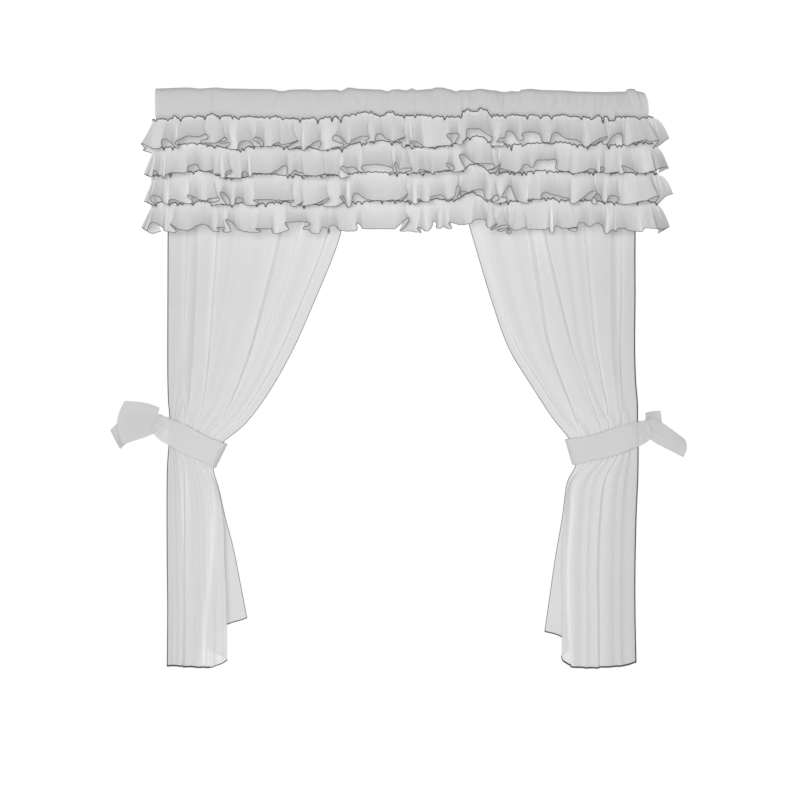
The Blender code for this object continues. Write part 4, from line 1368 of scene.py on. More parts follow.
@dataclass
class RodPocket(Piece):
    """The heading: cloth folded over the rod and stitched below it, open at both ends.

    Attributes:
        width: Its length along the rod.
        tuck: How far its seam lies below the first ruffle's head.
        depth: How far the rod holds its two faces apart.
        corner_pull: How far the right end's upper corner is pulled in.
        corner_from: Where this pull begins along the rod.
        ripple: How much its depth wanders along the rod.
        flutes: The small folds that rise from the seam.
        billows: The broad folds between them.
        slack: The folds of the back.
        busiest: Where along the rod, right of the middle, the front is most folded.
        calm: How much of those folds is left far from there.
        pressed: How sharp the pressed creases are far from their busiest place and there.
        creased: Where that place lies along the rod.
        turn_in: How soon the faces' folds begin at the pocket's two turns.
        flat: The cut cloth's width and length. It is not used.
        profile: The line round it, from the seam up the front and down the back, as shares of
            half its depth and of its height, counted down from its top.
    """

    width: float = 0.970
    tuck: float = 0.0040
    depth: float = 0.022
    columns: int = 520
    round_steps: int = 4
    corner_pull: float = 0.009
    corner_from: float = 0.43
    ripple: float = 0.10
    ripple_pitch: float = 0.121
    flutes: Gathers = Gathers(0.0007, 0.013)
    billows: Gathers = Gathers(0.0014, 0.041)
    slack: Gathers = Gathers(0.0008, 0.027)
    busiest: float = 0.13
    calm: float = 0.25
    pressed: Pair = (1.3, 1.9)
    creased: float = 0.16
    turn_in: float = 3.0
    flat: Pair = (0.970, 0.122)
    profile: tuple[Pair, ...] = (
        (-0.05, 1.0), (-0.14, 0.91), (-0.68, 0.76), (-1.0, 0.46), (-0.86, 0.14), (0.0, 0.0),
        (0.86, 0.14), (1.0, 0.46), (0.68, 0.76), (0.14, 0.91), (0.05, 1.0),
    )

    def section(self, x: float) -> list[Vector]:
        """The line round the pocket at one place along the rod.

        Args:
            x: The place along the rod.

        Returns:
            The points, from the seam up the front and down the back to the seam.
        """
        top = edge_up(TOP_EDGE, x)
        bottom = head_line(0, x) - self.tuck
        swell = 1 + self.ripple * math.sin(2 * math.pi * x / self.ripple_pitch)
        busy = mix(self.calm, 1.0, hump(x - self.busiest, self.busiest))
        sharp = mix(*self.pressed, hump(x - self.creased, self.creased))
        cornered = clamp((x - self.corner_from) / (self.width / 2 - self.corner_from))
        knots = [Vector((deep, down)) for deep, down in self.profile]
        points = []
        for number in range((len(knots) - 1) * self.round_steps + 1):
            place = smooth_at(knots, number / self.round_steps)
            z = mix(top, bottom, place.y)
            # Soft flutes rise from the gathers at the seam and die towards the fold at the top.
            low = clamp(place.y)
            flutes = busy * low**1.5 * self.flutes.at(x, 0.4)
            broad = busy * math.sin(math.pi * low) * self.billows.at(x, 2.9)
            pressed = sharp * crease_out(POCKET_CREASES, x, z)
            y = place.x * self.depth / 2 * swell
            y -= (flutes + broad + pressed) * clamp(-place.x * self.turn_in)
            y += self.slack.at(x, 5.1) * clamp(place.x * self.turn_in)
            points.append(Vector((x - self.corner_pull * (1 - low) ** 3 * cornered, y, z)))
        return points

    def build(self) -> Object:
        """Makes the pocket.

        Returns:
            The pocket's cloth.
        """
        places = [self.width * (i / self.columns - 0.5) for i in range(self.columns + 1)]
        mesh = cloth_mesh("rod_pocket_cloth", [self.section(x) for x in places])
        obj = self.place(put_in_scene("rod_pocket_cloth", mesh), Finish.DOUBLED_VOILE)
        return obj


@dataclass
class Backing(Piece):
    """The plain cloth behind the ruffles, with the four seams that hold them.

    Attributes:
        width: Its length along the rod.
        tuck: How far its upper edge lies below the first ruffle's head.
        bottom: Its lower edge.
        flares: How much wider it is at the left and the right end of its lower edge.
        seam_drop: How far each ruffle's seam lies below its head.
        seam_half: How far above and below a seam the cloth puckers.
        seam_y: How far behind the rod line the stitches lie.
        flare_from: Where, from the middle, the sides begin to flare.
        billows: The folds of the cloth between the seams.
        pucker: The small folds at a seam.
        flat: The cut cloth's width and length. It is not used.
    """

    width: float = 0.970
    tuck: float = 0.0020
    bottom: float = -0.2335
    flares: Pair = (-0.009, 0.018)
    columns: int = 240
    rows: int = 40
    seam_drop: float = 0.0025
    seam_half: float = 0.006
    seam_y: float = 0.0014
    seam_inset: float = 0.004
    flare_from: float = 0.40
    billows: Gathers = Gathers(0.0012, 0.030)
    pucker: Gathers = Gathers(0.0007, 0.008)
    flat: Pair = (0.970, 0.180)

    def point(self, x: float, share: float) -> Vector:
        """The place of the cloth at this share of its height.

        Args:
            x: The place along the rod.
            share: From 0 at the top to 1 at the bottom.

        Returns:
            The point.
        """
        z = mix(head_line(0, x) - self.tuck, self.bottom, share)
        y = math.sin(math.pi * clamp(share)) * self.billows.at(x, 0.9)
        for number in range(len(HEADS)):
            near = hump(z - head_line(number, x) + self.seam_drop, self.seam_half)
            y += near * self.pucker.at(x, number + 0.3)
        sideways = clamp((abs(x) - self.flare_from) / (self.width / 2 - self.flare_from))
        flare = self.flares[x > 0] * clamp(share * 2) * sideways
        return Vector((x + flare, y, z))

    def build(self) -> Object:
        """Makes the backing and its seams.

        Returns:
            The backing's cloth.
        """
        places = [self.width * (i / self.columns - 0.5) for i in range(self.columns + 1)]
        rows = [[self.point(x, j / self.rows) for x in places] for j in range(self.rows + 1)]
        mesh = cloth_mesh("valance_backing_cloth", rows)
        obj = self.place(put_in_scene("valance_backing_cloth", mesh), Finish.GATHERED_VOILE)
        lines = [
            [
                Vector((x, self.seam_y, head_line(number, x) - self.seam_drop))
                for x in places if abs(x) < self.width / 2 - self.seam_inset
            ]
            for number in range(len(HEADS))
        ]
        sewing = Stitching()
        mesh = join_meshes(
            "valance_stitches", [sewing.along(line, Vector((0.0, 1.0, 0.0))) for line in lines]
        )
        trim = self.add_trim(put_in_scene("valance_stitches", mesh), obj, Finish.SEAM_THREAD)
        return obj


@dataclass
class Ruffle(Piece):
    """One gathered strip, sewn along its top, with an overlocked head and an overlocked hem.

    Attributes:
        number: Which strip it is, from 0 at the top.
        drop: Its length from the seam to the hem.
        head: How far its head stands above the seam.
        flat: The stated width and length of the strip, which is not its cut size. The hems measure
            from 2.02 to 2.23 m, so a real strip is cut wider. The area check passes only with the
            width stated here, because the gathers at the seam are drawn too shallow. It is not
            used.
        ends: The seam's left and right end.
        seam_y: How far in front of the rod line the seam lies.
        rest_out: How far the hem stands out where it hangs straight.
        most_out: How far it stands out at most.
        flare: The power with which the cloth leaves the backing.
        evening: How much of the hem is gathered into one place of the seam.
        end: Where the free ends begin to spread sideways, from the middle.
        settle: The power with which the cloth leaves its place at the seam for its fold.
        spreads: The same for the left and the right end, which spread sideways.
        end_falls: The powers with which these two ends fall.
        least_fall: The least share of its straight fall that the cloth keeps.
        step: The distance from column to column along the hem.
        row_power: The power with which they lie closer towards the seam.
        tight: The gathers at the seam.
        flutes: The broader folds that they run into.
        lip: The small folds near the hem.
        hem_wave: How the hem rises and falls.
        frills: The two waves of the head's edge.
        head_out: How far that edge stands out.
        pinch_half: Half the width of a pinch.
        pinch_reach: How far from its middle a pinch still pulls.
        pinch_out: How far a pinch pushes the edge out, as a share of its pull.
    """

    number: int = 0
    drop: float = 0.0630
    head: float = 0.0025
    flat: Pair = (1.9, 0.066)
    ends: Pair = (-0.4910, 0.4940)
    seam_y: float = -0.0015
    rest_out: float = 0.006
    flare: float = 1.3
    evening: float = 0.034
    end: float = 0.425
    settle: float = 1.6
    spreads: Pair = (0.95, 0.62)
    end_falls: Pair = (1.0, 1.22)
    most_out: float = 0.042
    least_fall: float = 0.25
    step: float = 0.0016
    rows: int = 14
    row_power: float = 0.9
    head_rows: int = 3
    smoothing: int = 4
    tight: Gathers = Gathers(0.0009, 0.0085)
    flutes: Gathers = Gathers(0.0007, 0.027)
    lip: Gathers = Gathers(0.0005, 0.0125)
    hem_wave: Gathers = Gathers(0.0004, 0.0105)
    frills: tuple[Gathers, Gathers] = (Gathers(0.0013, 0.0110), Gathers(0.0009, 0.0053))
    head_out: float = 0.0026
    head_sway: Gathers = Gathers(0.0010, 0.0052)
    head_tight: Gathers = Gathers(0.0010, 0.0085)
    pinch_half: float = 0.0019
    pinch_reach: float = 0.008
    pinch_out: float = 0.35

    def seen_hem(self) -> list[HemPoint]:
        """The hem's course as it is seen from the front, on a smooth curve."""
        knots = [HemPoint(*knot) for knot in HEMS[self.number]]
        points = []
        for i in range((len(knots) - 1) * self.smoothing + 1):
            place = i / self.smoothing
            at = min(int(place), len(knots) - 2)
            first = max(at - 1, 0)
            near = knots[first:at + 3]
            x = smooth_at([knot.x for knot in near], place - first)
            down = smooth_at([knot.down for knot in near], place - first)
            out = mix(knots[at].out, knots[at + 1].out, place - at)
            points.append(HemPoint(x * GRID, -down * GRID, out * MM))
        return points

    def seam_places(self, points: Sequence[HemPoint], run: Sequence[float]) -> list[float]:
        """Where the cloth of each hem point leaves the seam. The seam takes the cloth in evenly,
        so it evens out the hem's loops.

        Args:
            points: The hem's points.
            run: The distance of each of them along the hem.

        Returns:
            Places along the rod that never step back.
        """
        places, low, high, total = [], 0, 0, 0.0
        for distance in run:
            while high < len(points) and run[high] <= distance + self.evening:
                total += points[high].x
                high += 1
            while run[low] < distance - self.evening:
                total -= points[low].x
                low += 1
            places.append(total / (high - low))
        places.sort()
        return [self.drawn_in(place, places[0], places[-1]) for place in places]

    def drawn_in(self, place: float, first: float, last: float) -> float:
        """Gathers the spread ends in, so that the strip ends with its seam.

        Args:
            place: A place along the rod.
            first: The left end's place before it is drawn in.
            last: The right end's.

        Returns:
            The place along the seam. Away from the ends it is the same.
        """
        beyond = abs(place) - self.end
        if beyond <= 0:
            return place
        reach = abs(last if place > 0 else first) - self.end
        room = abs(self.ends[place > 0]) - self.end
        return math.copysign(self.end + room * beyond / reach, place)

    def columns(self) -> list[StripColumn]:
        """All of the strip's columns at equal steps along its hem.

        Returns:
            The columns from left to right.
        """
        points = self.seen_hem()
        flat_run = measured([Vector((point.x, point.down, 0.0)) for point in points])
        hems = []
        seams = self.seam_places(points, flat_run)
        for point, seam_x in zip(points, seams):
            out = point.out
            if math.isnan(out):
                # The cloth keeps its length, so what hangs less low stands further out.
                fall = self.seam_z(seam_x) - point.down
                spare = self.drop**2 - fall**2 - (point.x - seam_x) ** 2
                out = clamp(math.sqrt(max(spare, 0.0)), self.rest_out, self.most_out)
            seen = Vector((point.x, 0.0, point.down))
            hems.append(seen + (EYE - seen) * (out - self.seam_y) / (-EYE.y))
        run = measured(hems)
        count = int(run[-1] / self.step)
        even, at = [], 0
        for i in range(count + 1):
            distance = run[-1] * i / count
            at, share = walk(run, distance, at)
            even.append(StripColumn(
                mix(seams[at], seams[at + 1], share), hems[at].lerp(hems[at + 1], share), distance
            ))
        return even

    def seam_z(self, x: float) -> float:
        """The height of the strip's seam at this place along the rod."""
        return head_line(self.number, x) - self.head

    def point(self, column: StripColumn, share: float) -> Vector:
        """The place of the strip below its seam.

        Args:
            column: The column.
            share: From 0 at the seam to 1 at the hem.

        Returns:
            The point.
        """
        seed = self.number * 1.37
        start = Vector((column.seam_x, self.seam_y, self.seam_z(column.seam_x)))
        span = column.hem - start
        room = abs(self.ends[column.seam_x > 0]) - self.end
        near_end = clamp((abs(column.seam_x) - self.end) / room)
        sideways = span.x * share ** mix(self.settle, self.spreads[column.seam_x > 0], near_end)
        outward = span.y * share**self.flare
        across = math.hypot(sideways, outward)
        least = self.least_fall * share * span.z
        fall = math.sqrt(max((span.length * share) ** 2 - across**2, least**2))
        fall = mix(fall, -span.z * share ** self.end_falls[column.seam_x > 0], near_end)
        # Tight gathers at the seam run together into broader flutes, and these into the loops.
        along = column.along
        tight = math.exp(-share * 5.5) * self.tight.at(along, seed)
        flutes = math.sin(math.pi * share**0.8) * self.flutes.at(along, seed + 2)
        lip = share**4 * self.lip.at(along, seed + 4)
        rise = share**3 * self.hem_wave.at(along, seed + 6)
        return start + Vector((sideways, outward - tight - flutes - lip, rise - fall))

    def head_point(self, column: StripColumn, share: float) -> Vector:
        """The place of the frilled head above the seam.

        Args:
            column: The column.
            share: From 0 at the seam to 1 at the head's edge.

        Returns:
            The point.
        """
        seed = self.number * 2.11 + 0.7
        x = column.seam_x
        frill = self.frills[0].at(x, seed) + self.frills[1].at(x, seed + 2)
        pinch = sum(
            depth * GRID * hump(x - place * GRID, self.pinch_half)
            for place, depth in HEADS[self.number].pinches
            if abs(x - place * GRID) < self.pinch_reach
        )
        up = self.head + frill - pinch
        out = self.head_out + self.head_sway.at(x, seed + 3) + self.pinch_out * pinch
        tight = self.head_tight.at(column.along, self.number * 1.37)
        return Vector((x, self.seam_y - tight - out * share, self.seam_z(x) + up * share))

    def build(self) -> Object:
        """Makes the strip and its two edgings.

        Returns:
            The strip's cloth.
        """
        columns = self.columns()
        rows = [
            [self.head_point(column, 1 - j / self.head_rows) for column in columns]
            for j in range(self.head_rows)
        ]
        rows += [
            [self.point(column, (j / self.rows) ** self.row_power) for column in columns]
            for j in range(self.rows + 1)
        ]
        name = f"{self.node}_cloth"
        obj = self.place(put_in_scene(name, cloth_mesh(name, rows)), Finish.GATHERED_VOILE)
        mesh = join_meshes(f"{self.node}_overlock", [
            Edging(half_width=0.0010, half_thickness=0.0009).along(rows[0], rows[1]),
            Edging().along(rows[-1], rows[-2]),
        ])
        trim = self.add_trim(put_in_scene(f"{self.node}_overlock", mesh), obj, Finish.DARK_OVERLOCK)
        return obj


@dataclass
class SheerPanel(Piece):
    """One sheer panel, from the seam behind the backing through its tie to its hem.

    Attributes:
        table: Its rows.
        pleats: Its main folds.
        lines: The folds that lie flat on themselves.
        sags: How far the hem drops below the line between its corners, in mm.
        outer_edging: Half the width and half the thickness of the outer side's edging.
        inner_edging: The same for the inner side, which is stretched thin.
        hem_edging: The same for the hem, as far as it is heavy.
        heavy_hem: The share of the hem, from the outer side, where its edging is heavy.
        flat: The stated width and length, which are not the cut size. The width is the top
            edge's as it hangs, and a real panel is cut perhaps 0.76 m wide and 1.14 m long. The
            area check passes only with a width as small as this, because most of the cloth that
            the tie gathers is not modelled.
        front_fold: The share of the cloth that hangs in front of the Z.
        valley: The share at which the Z turns forward again.
        turn_spread: How much cloth each turn of the Z takes.
        edge_back: How far behind the inner edge lies, as a share of the doubling back.
        calm_edge: How much cloth at each side has softer folds.
        calm_back_from: From which share on the doubled cloth has softer folds.
        calm_back: How much of its folds is left there.
        sag_rows: How many of the table's rows the hem's sag reaches up.
        fold_over: How far a flat fold carries the cloth over itself.
        fold_depth: How far it lifts the cloth, in mm for a fold as wide as the row.
        fold_reach: How many half widths away a flat fold no longer carries the cloth.
        band: Half the width of the band that a flat fold doubles, in half widths.
        full_back: How far a doubling back, in mm, looks fully doubled.
        fold_painted_light_and_cover: How much painted light whitens a flat fold, standing in for
            the light its layers pass on. It also makes the fold less clear.
        narrow_painted_light_and_cover: How much painted light whitens the cloth where it is drawn
            together. It also makes the cloth less clear there.
        gathering: The power with which the cloth closes towards its outer edge, and with which its
            colour darkens there as painted shade.
    """

    table: tuple[PanelRow, ...] = LEFT_ROWS
    pleats: tuple[Pleat, ...] = LEFT_PLEATS
    lines: tuple[FoldLine, ...] = LEFT_LINES
    sags: tuple[float, ...] = LEFT_HEM_SAG
    outer_edging: Pair = (0.0010, 0.0009)
    inner_edging: Pair = (0.0006, 0.0005)
    hem_edging: Pair = (0.0017, 0.0013)
    heavy_hem: float = 0.49
    flat: Pair = (0.42, 1.07)
    rows: int = 150
    columns: int = 230
    front_fold: float = 0.70
    valley: float = 0.84
    turn_spread: float = 0.03
    turn_step: float = 0.01
    edge_back: float = 1.6
    calm_edge: float = 0.10
    calm_back_from: float = 0.62
    calm_back: float = 0.25
    back_from: float = 0.5
    sag_rows: float = 4
    sag_power: float = 1.5
    fold_over: float = 1.7
    fold_depth: float = 45.0
    fold_reach: float = 4.0
    band: float = 1.9
    band_edge: float = 0.7
    full_back: float = 12.0
    fold_painted_light_and_cover: float = 0.82
    narrow_painted_light_and_cover: float = 0.08
    gathering: float = 1.6

    def row_at(self, place: float) -> PanelRow:
        """The row at a place between the table's rows, on a smooth curve."""
        return PanelRow(*(
            smooth_at([row[k] for row in self.table], place) for k in range(len(self.table[0]))
        ))

    def carrier(self, row: PanelRow, share: float) -> Vector:
        """Where a row's cloth lies in plan without its folds. Low down it doubles back in a Z.

        Args:
            row: The row.
            share: The place across the cloth, from its outer edge.

        Returns:
            The point in mm, at no height.
        """
        if share <= self.front_fold:
            across = mix(0.0, row.front, share / self.front_fold)
            back = 0.0
        elif share <= self.valley:
            part = (share - self.front_fold) / (self.valley - self.front_fold)
            across, back = mix(row.front, row.valley, part), part
        else:
            part = (share - self.valley) / (1.0 - self.valley)
            across, back = mix(row.valley, 1.0, part), mix(1.0, self.edge_back, part)
        return Vector((
            mix(row.outer_x, row.inner_x, across), row.depth + back * max(row.back, 0.0), 0.0
        ))

    def softened(self, row: PanelRow, share: float) -> Vector:
        """The carrier with its two turns rounded."""
        steps = (-self.turn_spread, 0.0, self.turn_spread)
        return sum((self.carrier(row, clamp(share + step)) for step in steps), Vector()) / 3

    def level(self, place: float) -> float:
        """The level of the flat folds' tables at a place between the rows of the panel's."""
        return place * (len(self.lines[0].course) - 1) / (len(self.table) - 1)

    def folded(self, place: float, share: float) -> float:
        """How far the flat folds carry the cloth at a place.

        Args:
            place: The level, as a place between the table's rows.
            share: The place across the cloth, from its outer edge.

        Returns:
            From -1 to 1 times a fold's half width, as a share of the row.
        """
        total = 0.0
        level = self.level(place)
        for line in self.lines:
            off = (share - smooth_at(line.course, level)) / line.half
            if abs(off) < self.fold_reach:
                total += (
                    line.half * clamp(smooth_at(line.strength, level))
                    * off * math.exp((1 - off**2) / 2)
                )
        return total

    def layered(self, place: float, row: PanelRow, share: float) -> float:
        """How much cloth lies close behind: more where the row is narrow and in its flat folds,
        most in front of the Z. The material whitens the colour by it, as painted light, and makes
        the cloth less clear by it.

        Args:
            place: The level, as a place between the table's rows.
            row: The row there.
            share: The place across the cloth, from its outer edge.

        Returns:
            From 0 for a single layer to 1.
        """
        narrow = clamp(1 - abs(row.inner_x - row.outer_x) * MM / self.flat[0])
        start = self.front_fold * row.valley / max(row.front, 0.01)
        inside = clamp((share - start) / 0.05 + 0.8) * clamp((self.front_fold - share) / 0.06 + 1)
        level = self.level(place)
        doubled = 0.0
        for line in self.lines:
            off = abs(share - smooth_at(line.course, level)) / line.half
            doubled += clamp(smooth_at(line.strength, level)) * clamp(
                (self.band - off) / self.band_edge
            )
        # Painted light: this number whitens the cloth's colour where it is narrow, in front of the
        # Z and in its flat folds.
        return clamp(
            self.narrow_painted_light_and_cover * narrow + inside * clamp(row.back / self.full_back)
            + self.fold_painted_light_and_cover * doubled
        )

    def point(self, place: float, row: PanelRow, share: float, sag: float) -> Vector:
        """The place of the cloth.

        Args:
            place: The level, as a place between the table's rows.
            row: The row there.
            share: The place across the cloth, from its outer edge.
            sag: How far the hem's line drops it, in mm.

        Returns:
            The point in metres.
        """
        side = 1 if row.inner_x > row.outer_x else -1
        calm = min(1.0, share / self.calm_edge, (1.0 - share) / self.calm_edge)
        if row.back > self.back_from and share >= self.calm_back_from:
            calm *= self.calm_back
        swing = row.swing * pleat_wave(self.pleats, share) * calm
        fold = self.folded(place, share) * calm
        step = self.turn_step
        ahead = self.softened(row, clamp(share + step)) - self.softened(row, clamp(share - step))
        ahead.normalize()
        square = Vector((ahead.y, -ahead.x, 0.0)) * side
        width = abs(row.inner_x - row.outer_x)
        spot = self.softened(row, share) + square * (swing + fold * self.fold_depth)
        spot -= ahead * (fold * width * self.fold_over)
        return Vector((spot.x, spot.y, mix(row.outer_z, row.inner_z, share) - sag)) * MM

    def build(self) -> Object:
        """Makes the panel and the edging of its two sides and its hem.

        Returns:
            The panel's cloth.
        """
        last = len(self.table) - 1
        sag_steps = len(self.sags) - 1
        shares = [i / self.columns for i in range(self.columns + 1)]
        rows, layers = [], []
        for j in range(self.rows + 1):
            place = last * j / self.rows
            row = self.row_at(place)
            drop = clamp((place - (last - self.sag_rows)) / self.sag_rows) ** self.sag_power
            rows.append([
                self.point(place, row, share, smooth_at(self.sags, share * sag_steps) * drop)
                for share in shares
            ])
            layers += [self.layered(place, row, share) for share in shares]
        name = f"{self.node}_cloth"
        mesh = cloth_mesh(name, rows)
        # The outer side is bunched: less clear, and darkened towards the shaded colour as painted
        # shade.
        mark(mesh, "bunched", [(1 - share) ** self.gathering for share in shares] * len(rows))
        # Painted light: these numbers whiten the cloth's colour where layers lie close.
        mark(mesh, "layered", layers)
        obj = self.place(put_in_scene(name, mesh), Finish.SHEER_VOILE)
        name = f"{self.node}_overlock"
        turn = round(self.heavy_hem * self.columns)
        mesh = join_meshes(name, [
            Edging(*self.outer_edging).along([row[0] for row in rows], [row[2] for row in rows]),
            Edging(*self.inner_edging).along([row[-1] for row in rows], [row[-3] for row in rows]),
            Edging(*self.hem_edging).along(rows[-1][:turn + 1], rows[-2][:turn + 1]),
            Edging(*self.outer_edging).along(rows[-1][turn:], rows[-2][turn:]),
        ])
        trim = self.add_trim(put_in_scene(name, mesh), obj, Finish.DARK_OVERLOCK)
        return obj


@dataclass
class TieBack(Piece):
    """A tie: a band round the bundled panel, a half knot at the outer side and two free ends.

    Attributes:
        knot: Where the knot lies in the plane of the curtain, in mm.
        reach: How far the band reaches along the rod, in mm.
        fall: How far it falls on the way, in mm.
        sag: How far its middle sags, in mm.
        tails: Its two free ends.
        flat: The cut strip's width and length. It is not used.
        band_half: Half the band's width, in mm.
        middle: How far behind the rod line the bundle's middle lies, in mm.
        depth: Half the band's depth round the bundle, in mm.
        knot_size: Half the knot's depth along the band, its depth and its height, in mm.
    """

    knot: Pair = (-486, -662)
    reach: float = 128.5
    fall: float = 64
    sag: float = 2
    tails: tuple[Tail, ...] = LEFT_TAILS
    flat: Pair = (0.052, 0.52)
    band_half: float = 25.0
    middle: float = 17.0
    depth: float = 12.6
    knot_size: tuple[float, float, float] = (10.0, 7.5, 21.0)
    knot_rings: int = 30
    knot_sides: int = 44
    lifts: int = 12
    girth_steps: int = 5
    tail_steps: int = 9
    tail_across: int = 18

    def knot_place(self) -> Vector:
        """The knot's middle, in mm."""
        return Vector((self.knot[0], self.middle, self.knot[1]))

    def span(self) -> Vector:
        """The way from the knot to the band's far end, in mm."""
        return Vector((self.reach, 0.0, -self.fall))

    def upward(self) -> Vector:
        """The way across the band, upwards."""
        across = self.span().normalized()
        return Vector((across.z, 0.0, -across.x)) * (1 if across.x < 0 else -1)

    def band(self) -> list[list[Vector]]:
        """The rows of the band, from its lower edge to its upper edge, each a closed ring.

        Returns:
            The points, in metres.
        """
        ring = [(Vector(girth), -1.0) for girth in GIRTHS]
        ring.append((Vector(Girth(1.0, 0.0, 1.0)), 1.0))
        ring += [(Vector(girth), 1.0) for girth in reversed(GIRTHS)]
        signed = [Vector((girth.x, girth.y * side, girth.z)) for girth, side in ring]
        knot = self.knot_place()
        rows = []
        for j in range(self.lifts + 1):
            lift = 2 * j / self.lifts - 1
            row = []
            for i in range((len(signed) - 1) * self.girth_steps + 1):
                along, deep, wide = smooth_at(signed, i / self.girth_steps)
                # Creases run out of the knot and along the band, and die half way.
                drawn = math.exp(-along * 3.2)
                crease = 1.5 * drawn * math.sin(3.3 * math.pi * lift + 4 * along)
                slack = 0.9 * math.sin(math.pi * clamp(along)) * math.sin(2.2 * lift + 9 * along)
                uneven = 0.9 * abs(lift) ** 3 * math.sin(13 * along + 2 * lift) * min(along * 4, 1)
                bow = 1.2 * (1 - lift**2)
                front = -1 if deep < 0 else 1
                y = deep * self.depth + front * (crease + slack + bow) * min(abs(deep) * 1.4, 1)
                sag = -self.sag * math.sin(math.pi * clamp(along))
                row.append((
                    knot + self.span() * along + Vector((0.0, y, sag))
                    + self.upward() * (lift * wide * self.band_half + uneven)
                ) * MM)
            rows.append(row)
        return rows

    def tail(self, tail: Tail) -> list[list[Vector]]:
        """The rows of one free end, from inside the knot to its cut end.

        Args:
            tail: The free end.

        Returns:
            The points, in metres.
        """
        tops = [Vector((s.top_x, s.y, s.top_z)) for s in tail.stations]
        lows = [Vector((s.low_x, s.y + tail.lean, s.low_z)) for s in tail.stations]
        last = len(tops) - 1
        rows = []
        for j in range(last * self.tail_steps + 1):
            place = j / self.tail_steps
            top, low = smooth_at(tops, place), smooth_at(lows, place)
            outward = math.copysign(tail.tip, top.x) * (place / last) ** 3
            row = []
            for i in range(self.tail_across + 1):
                share = i / self.tail_across
                bow = math.sin(math.pi * share)
                # Folds fan out of the knot, deepest where the cloth is squeezed.
                fan = 2.6 * math.exp(-place * 1.1) * math.sin(math.pi * (3.5 * share + 0.2))
                wave = 0.9 * math.sin(math.pi * (1.6 * share + 0.7 * place))
                y = -3.0 * bow - (fan + wave) * min(1.0, 4 * share, 4 * (1 - share))
                row.append((top.lerp(low, share) + Vector((outward * bow, y, 0.0))) * MM)
            rows.append(row)
        return rows

    def knot_mesh(self) -> Mesh:
        """The half knot: turned cloth with furrows that wind round it.

        Returns:
            The knot's mesh.
        """
        lean = math.atan2(self.fall, abs(self.reach)) * math.copysign(1.0, self.reach)
        turn = Matrix.Rotation(lean, 3, "Y")
        size = Vector(self.knot_size)
        rows = []
        for j in range(self.knot_rings + 1):
            height = math.cos(math.pi * j / self.knot_rings)
            width = max(math.sin(math.pi * j / self.knot_rings), 0.02)
            row = []
            for i in range(self.knot_sides):
                around = 2 * math.pi * i / self.knot_sides
                furrow = math.sin(3 * around + 2.4 * height)
                swell = 1 + 0.08 * furrow * abs(furrow) + 0.03 * math.sin(7 * around - 5 * height)
                point = Vector((
                    math.cos(around) * width * swell * size.x,
                    math.sin(around) * width * swell * size.y, height * size.z,
                ))
                row.append((turn @ point + self.knot_place()) * MM)
            rows.append(row)
        return cloth_mesh("knot", rows, ring=True)

    def build(self) -> Object:
        """Makes the tie and its narrow edging.

        Returns:
            The tie's cloth.
        """
        band = self.band()
        ends = [self.tail(tail) for tail in self.tails]
        name = f"{self.node}_cloth"
        meshes = [cloth_mesh("band", band, ring=True)]
        meshes += [cloth_mesh("tail", rows) for rows in ends]
        meshes.append(self.knot_mesh())
        # The free ends are double, so they are the least clear. The same numbers darken the ends
        # and the knot towards the shaded colour, a painted shade.
        closed = [
            share for part, share in zip(meshes, (0.0, 1.0, 1.0, 0.35)) for _ in part.vertices
        ]
        mesh = join_meshes(name, meshes)
        mark(mesh, "bunched", closed)
        obj = self.place(put_in_scene(name, mesh), Finish.TIE_VOILE)
        runs = [([*band[k], band[k][0]], [*band[near], band[near][0]]) for k, near in (
            (0, 1), (-1, -2)
        )]
        for rows in ends:
            runs.append(([row[0] for row in rows], [row[1] for row in rows]))
            runs.append((rows[-1], rows[-2]))
            runs.append(([row[-1] for row in rows], [row[-2] for row in rows]))
        edging = Edging(half_width=0.0005, half_thickness=0.0005, stitch=0.003).sew(
            f"{self.node}_overlock", runs
        )
        trim = self.add_trim(edging, obj, Finish.SEAM_THREAD)
        return obj


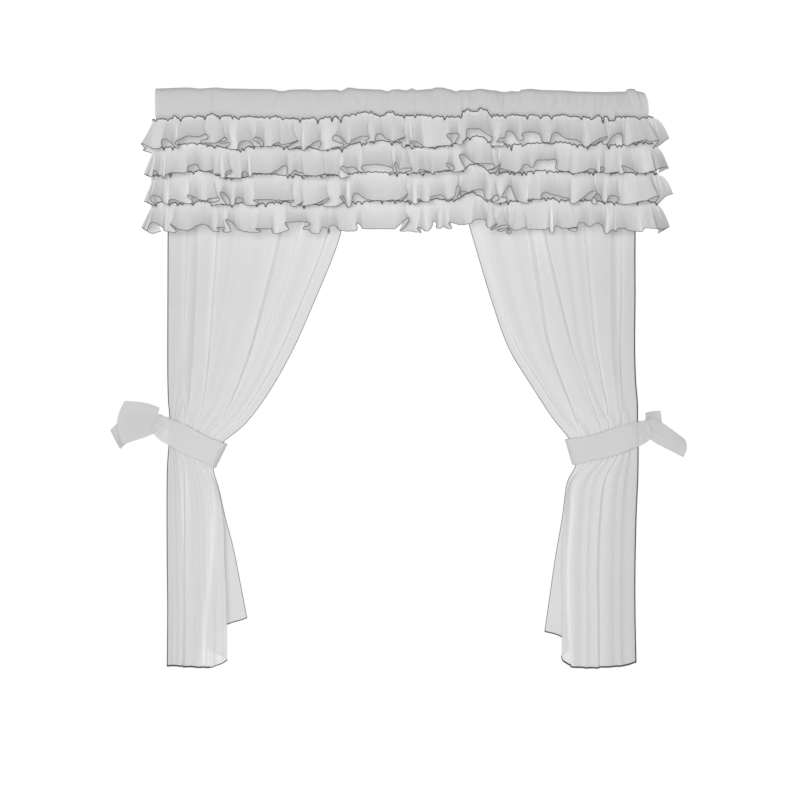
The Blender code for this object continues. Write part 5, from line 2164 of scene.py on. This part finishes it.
@dataclass
class Studio:
    """The camera, the soft light and the floor.

    Lengths are in metres, the lens and the sensor in mm and the light's power in watts.

    Attributes:
        front_sky: How strong the sky is on the room's side.
        back_sky: How strong it is behind the curtain.
        aim: The place that it faces.
    """

    wardrobe: Wardrobe
    lens: float = 70.0
    sensor: float = 36.0
    floor_z: float = -1.95
    floor_size: Pair = (9.0, 4.4)
    floor_middle: float = -0.6
    front_sky: float = 0.263
    back_sky: float = 1.0
    key_place: tuple[float, float, float] = (-0.45, -3.3, -0.30)
    key_size: float = 1.4
    key_power: float = 56.5
    aim: tuple[float, float, float] = (0.0, 0.0, -0.5)

    def build(self) -> None:
        """Sets up the camera, the sky, the light and the floor."""
        self.camera()
        self.sky()
        # Thin cloth lies in many layers here, and white cloth passes light on many times.
        bpy.context.scene.cycles.transparent_max_bounces = 24
        bpy.context.scene.cycles.diffuse_bounces = 8
        self.key()
        self.floor()

    def camera(self) -> None:
        """Sets up the camera, level and straight on."""
        camera = bpy.data.objects.new("camera", bpy.data.cameras.new("camera"))
        camera.location = EYE
        camera.rotation_euler = (math.pi / 2, 0.0, 0.0)
        camera.data.lens = self.lens
        camera.data.sensor_width = self.sensor
        camera.data.clip_end = 50.0
        bpy.context.scene.collection.objects.link(camera)
        bpy.context.scene.camera = camera

    def sky(self) -> None:
        """Makes the sky, bright behind the curtain and dim on the room's side."""
        world = bpy.data.worlds.new("studio")
        world.use_nodes = True
        world.node_tree.nodes.clear()
        way = add_node(world.node_tree, "TexCoord").outputs["Generated"]
        along = add_node(world.node_tree, "SeparateXYZ", {"Vector": way}).outputs["Y"]
        strength = add_node(world.node_tree, "MapRange", {
            "Value": along, "From Min": 0.5, "From Max": 0.95, "To Min": self.front_sky,
            "To Max": self.back_sky,
        }, interpolation_type="SMOOTHSTEP").outputs["Result"]
        sky = add_node(world.node_tree, "Background", {
            "Color": WHITE, "Strength": strength,
        }).outputs[0]
        add_node(world.node_tree, "OutputWorld", {"Surface": sky})
        bpy.context.scene.world = world
        bpy.context.scene.view_settings.view_transform = "Standard"

    def key(self) -> None:
        """Adds the square soft light."""
        light = bpy.data.lights.new("key", "AREA")
        light.size = self.key_size
        light.energy = self.key_power
        obj = bpy.data.objects.new("key", light)
        obj.location = self.key_place
        aim = Vector(self.aim) - Vector(self.key_place)
        obj.rotation_euler = aim.to_track_quat("-Z", "Y").to_euler()
        bpy.context.scene.collection.objects.link(obj)

    def floor(self) -> None:
        """Lays the floor."""
        width, depth = (side / 2 for side in self.floor_size)
        rows = [
            [Vector((x, self.floor_middle + y, self.floor_z)) for x in (-width, width)]
            for y in (depth, -depth)
        ]
        floor = put_in_scene("studio_floor", cloth_mesh("studio_floor", rows))
        self.wardrobe.dress(floor, Finish.STUDIO_FLOOR)


def report(obj: Object) -> None:
    """Logs a finished piece and how many faces it has."""
    log.info("%s: %d faces", obj.name, len(obj.data.polygons))


def main() -> None:
    """Builds and dresses the whole set."""
    logging.basicConfig(level=logging.INFO, format="%(name)s: %(message)s")
    wardrobe = Wardrobe()
    Studio(wardrobe).build()
    report(RodPocket("rod_pocket", "pocket_cloth", wardrobe).build())
    backing = Backing("valance_backing", "pocket_cloth", wardrobe)
    report(backing.build())
    for number in range(len(HEMS)):
        report(Ruffle(
            f"ruffle_{number + 1}", "ruffle_cloth", wardrobe, number=number,
            ends=RUFFLE_ENDS[number],
        ).build())
    report(SheerPanel("panel_left", "sheer_cloth", wardrobe).build())
    report(SheerPanel(
        "panel_right", "sheer_cloth", wardrobe, table=RIGHT_ROWS, pleats=RIGHT_PLEATS,
        lines=RIGHT_LINES, sags=RIGHT_HEM_SAG, flat=(0.394, 1.07), outer_edging=(0.0013, 0.0010),
        heavy_hem=0.66,
    ).build())
    report(TieBack("tie_left", "tie_cloth", wardrobe).build())
    report(TieBack(
        "tie_right", "tie_cloth", wardrobe, knot=(490, -672), reach=-160, fall=46, sag=5,
        tails=RIGHT_TAILS,
    ).build())


if __name__ == "__main__":
    main()
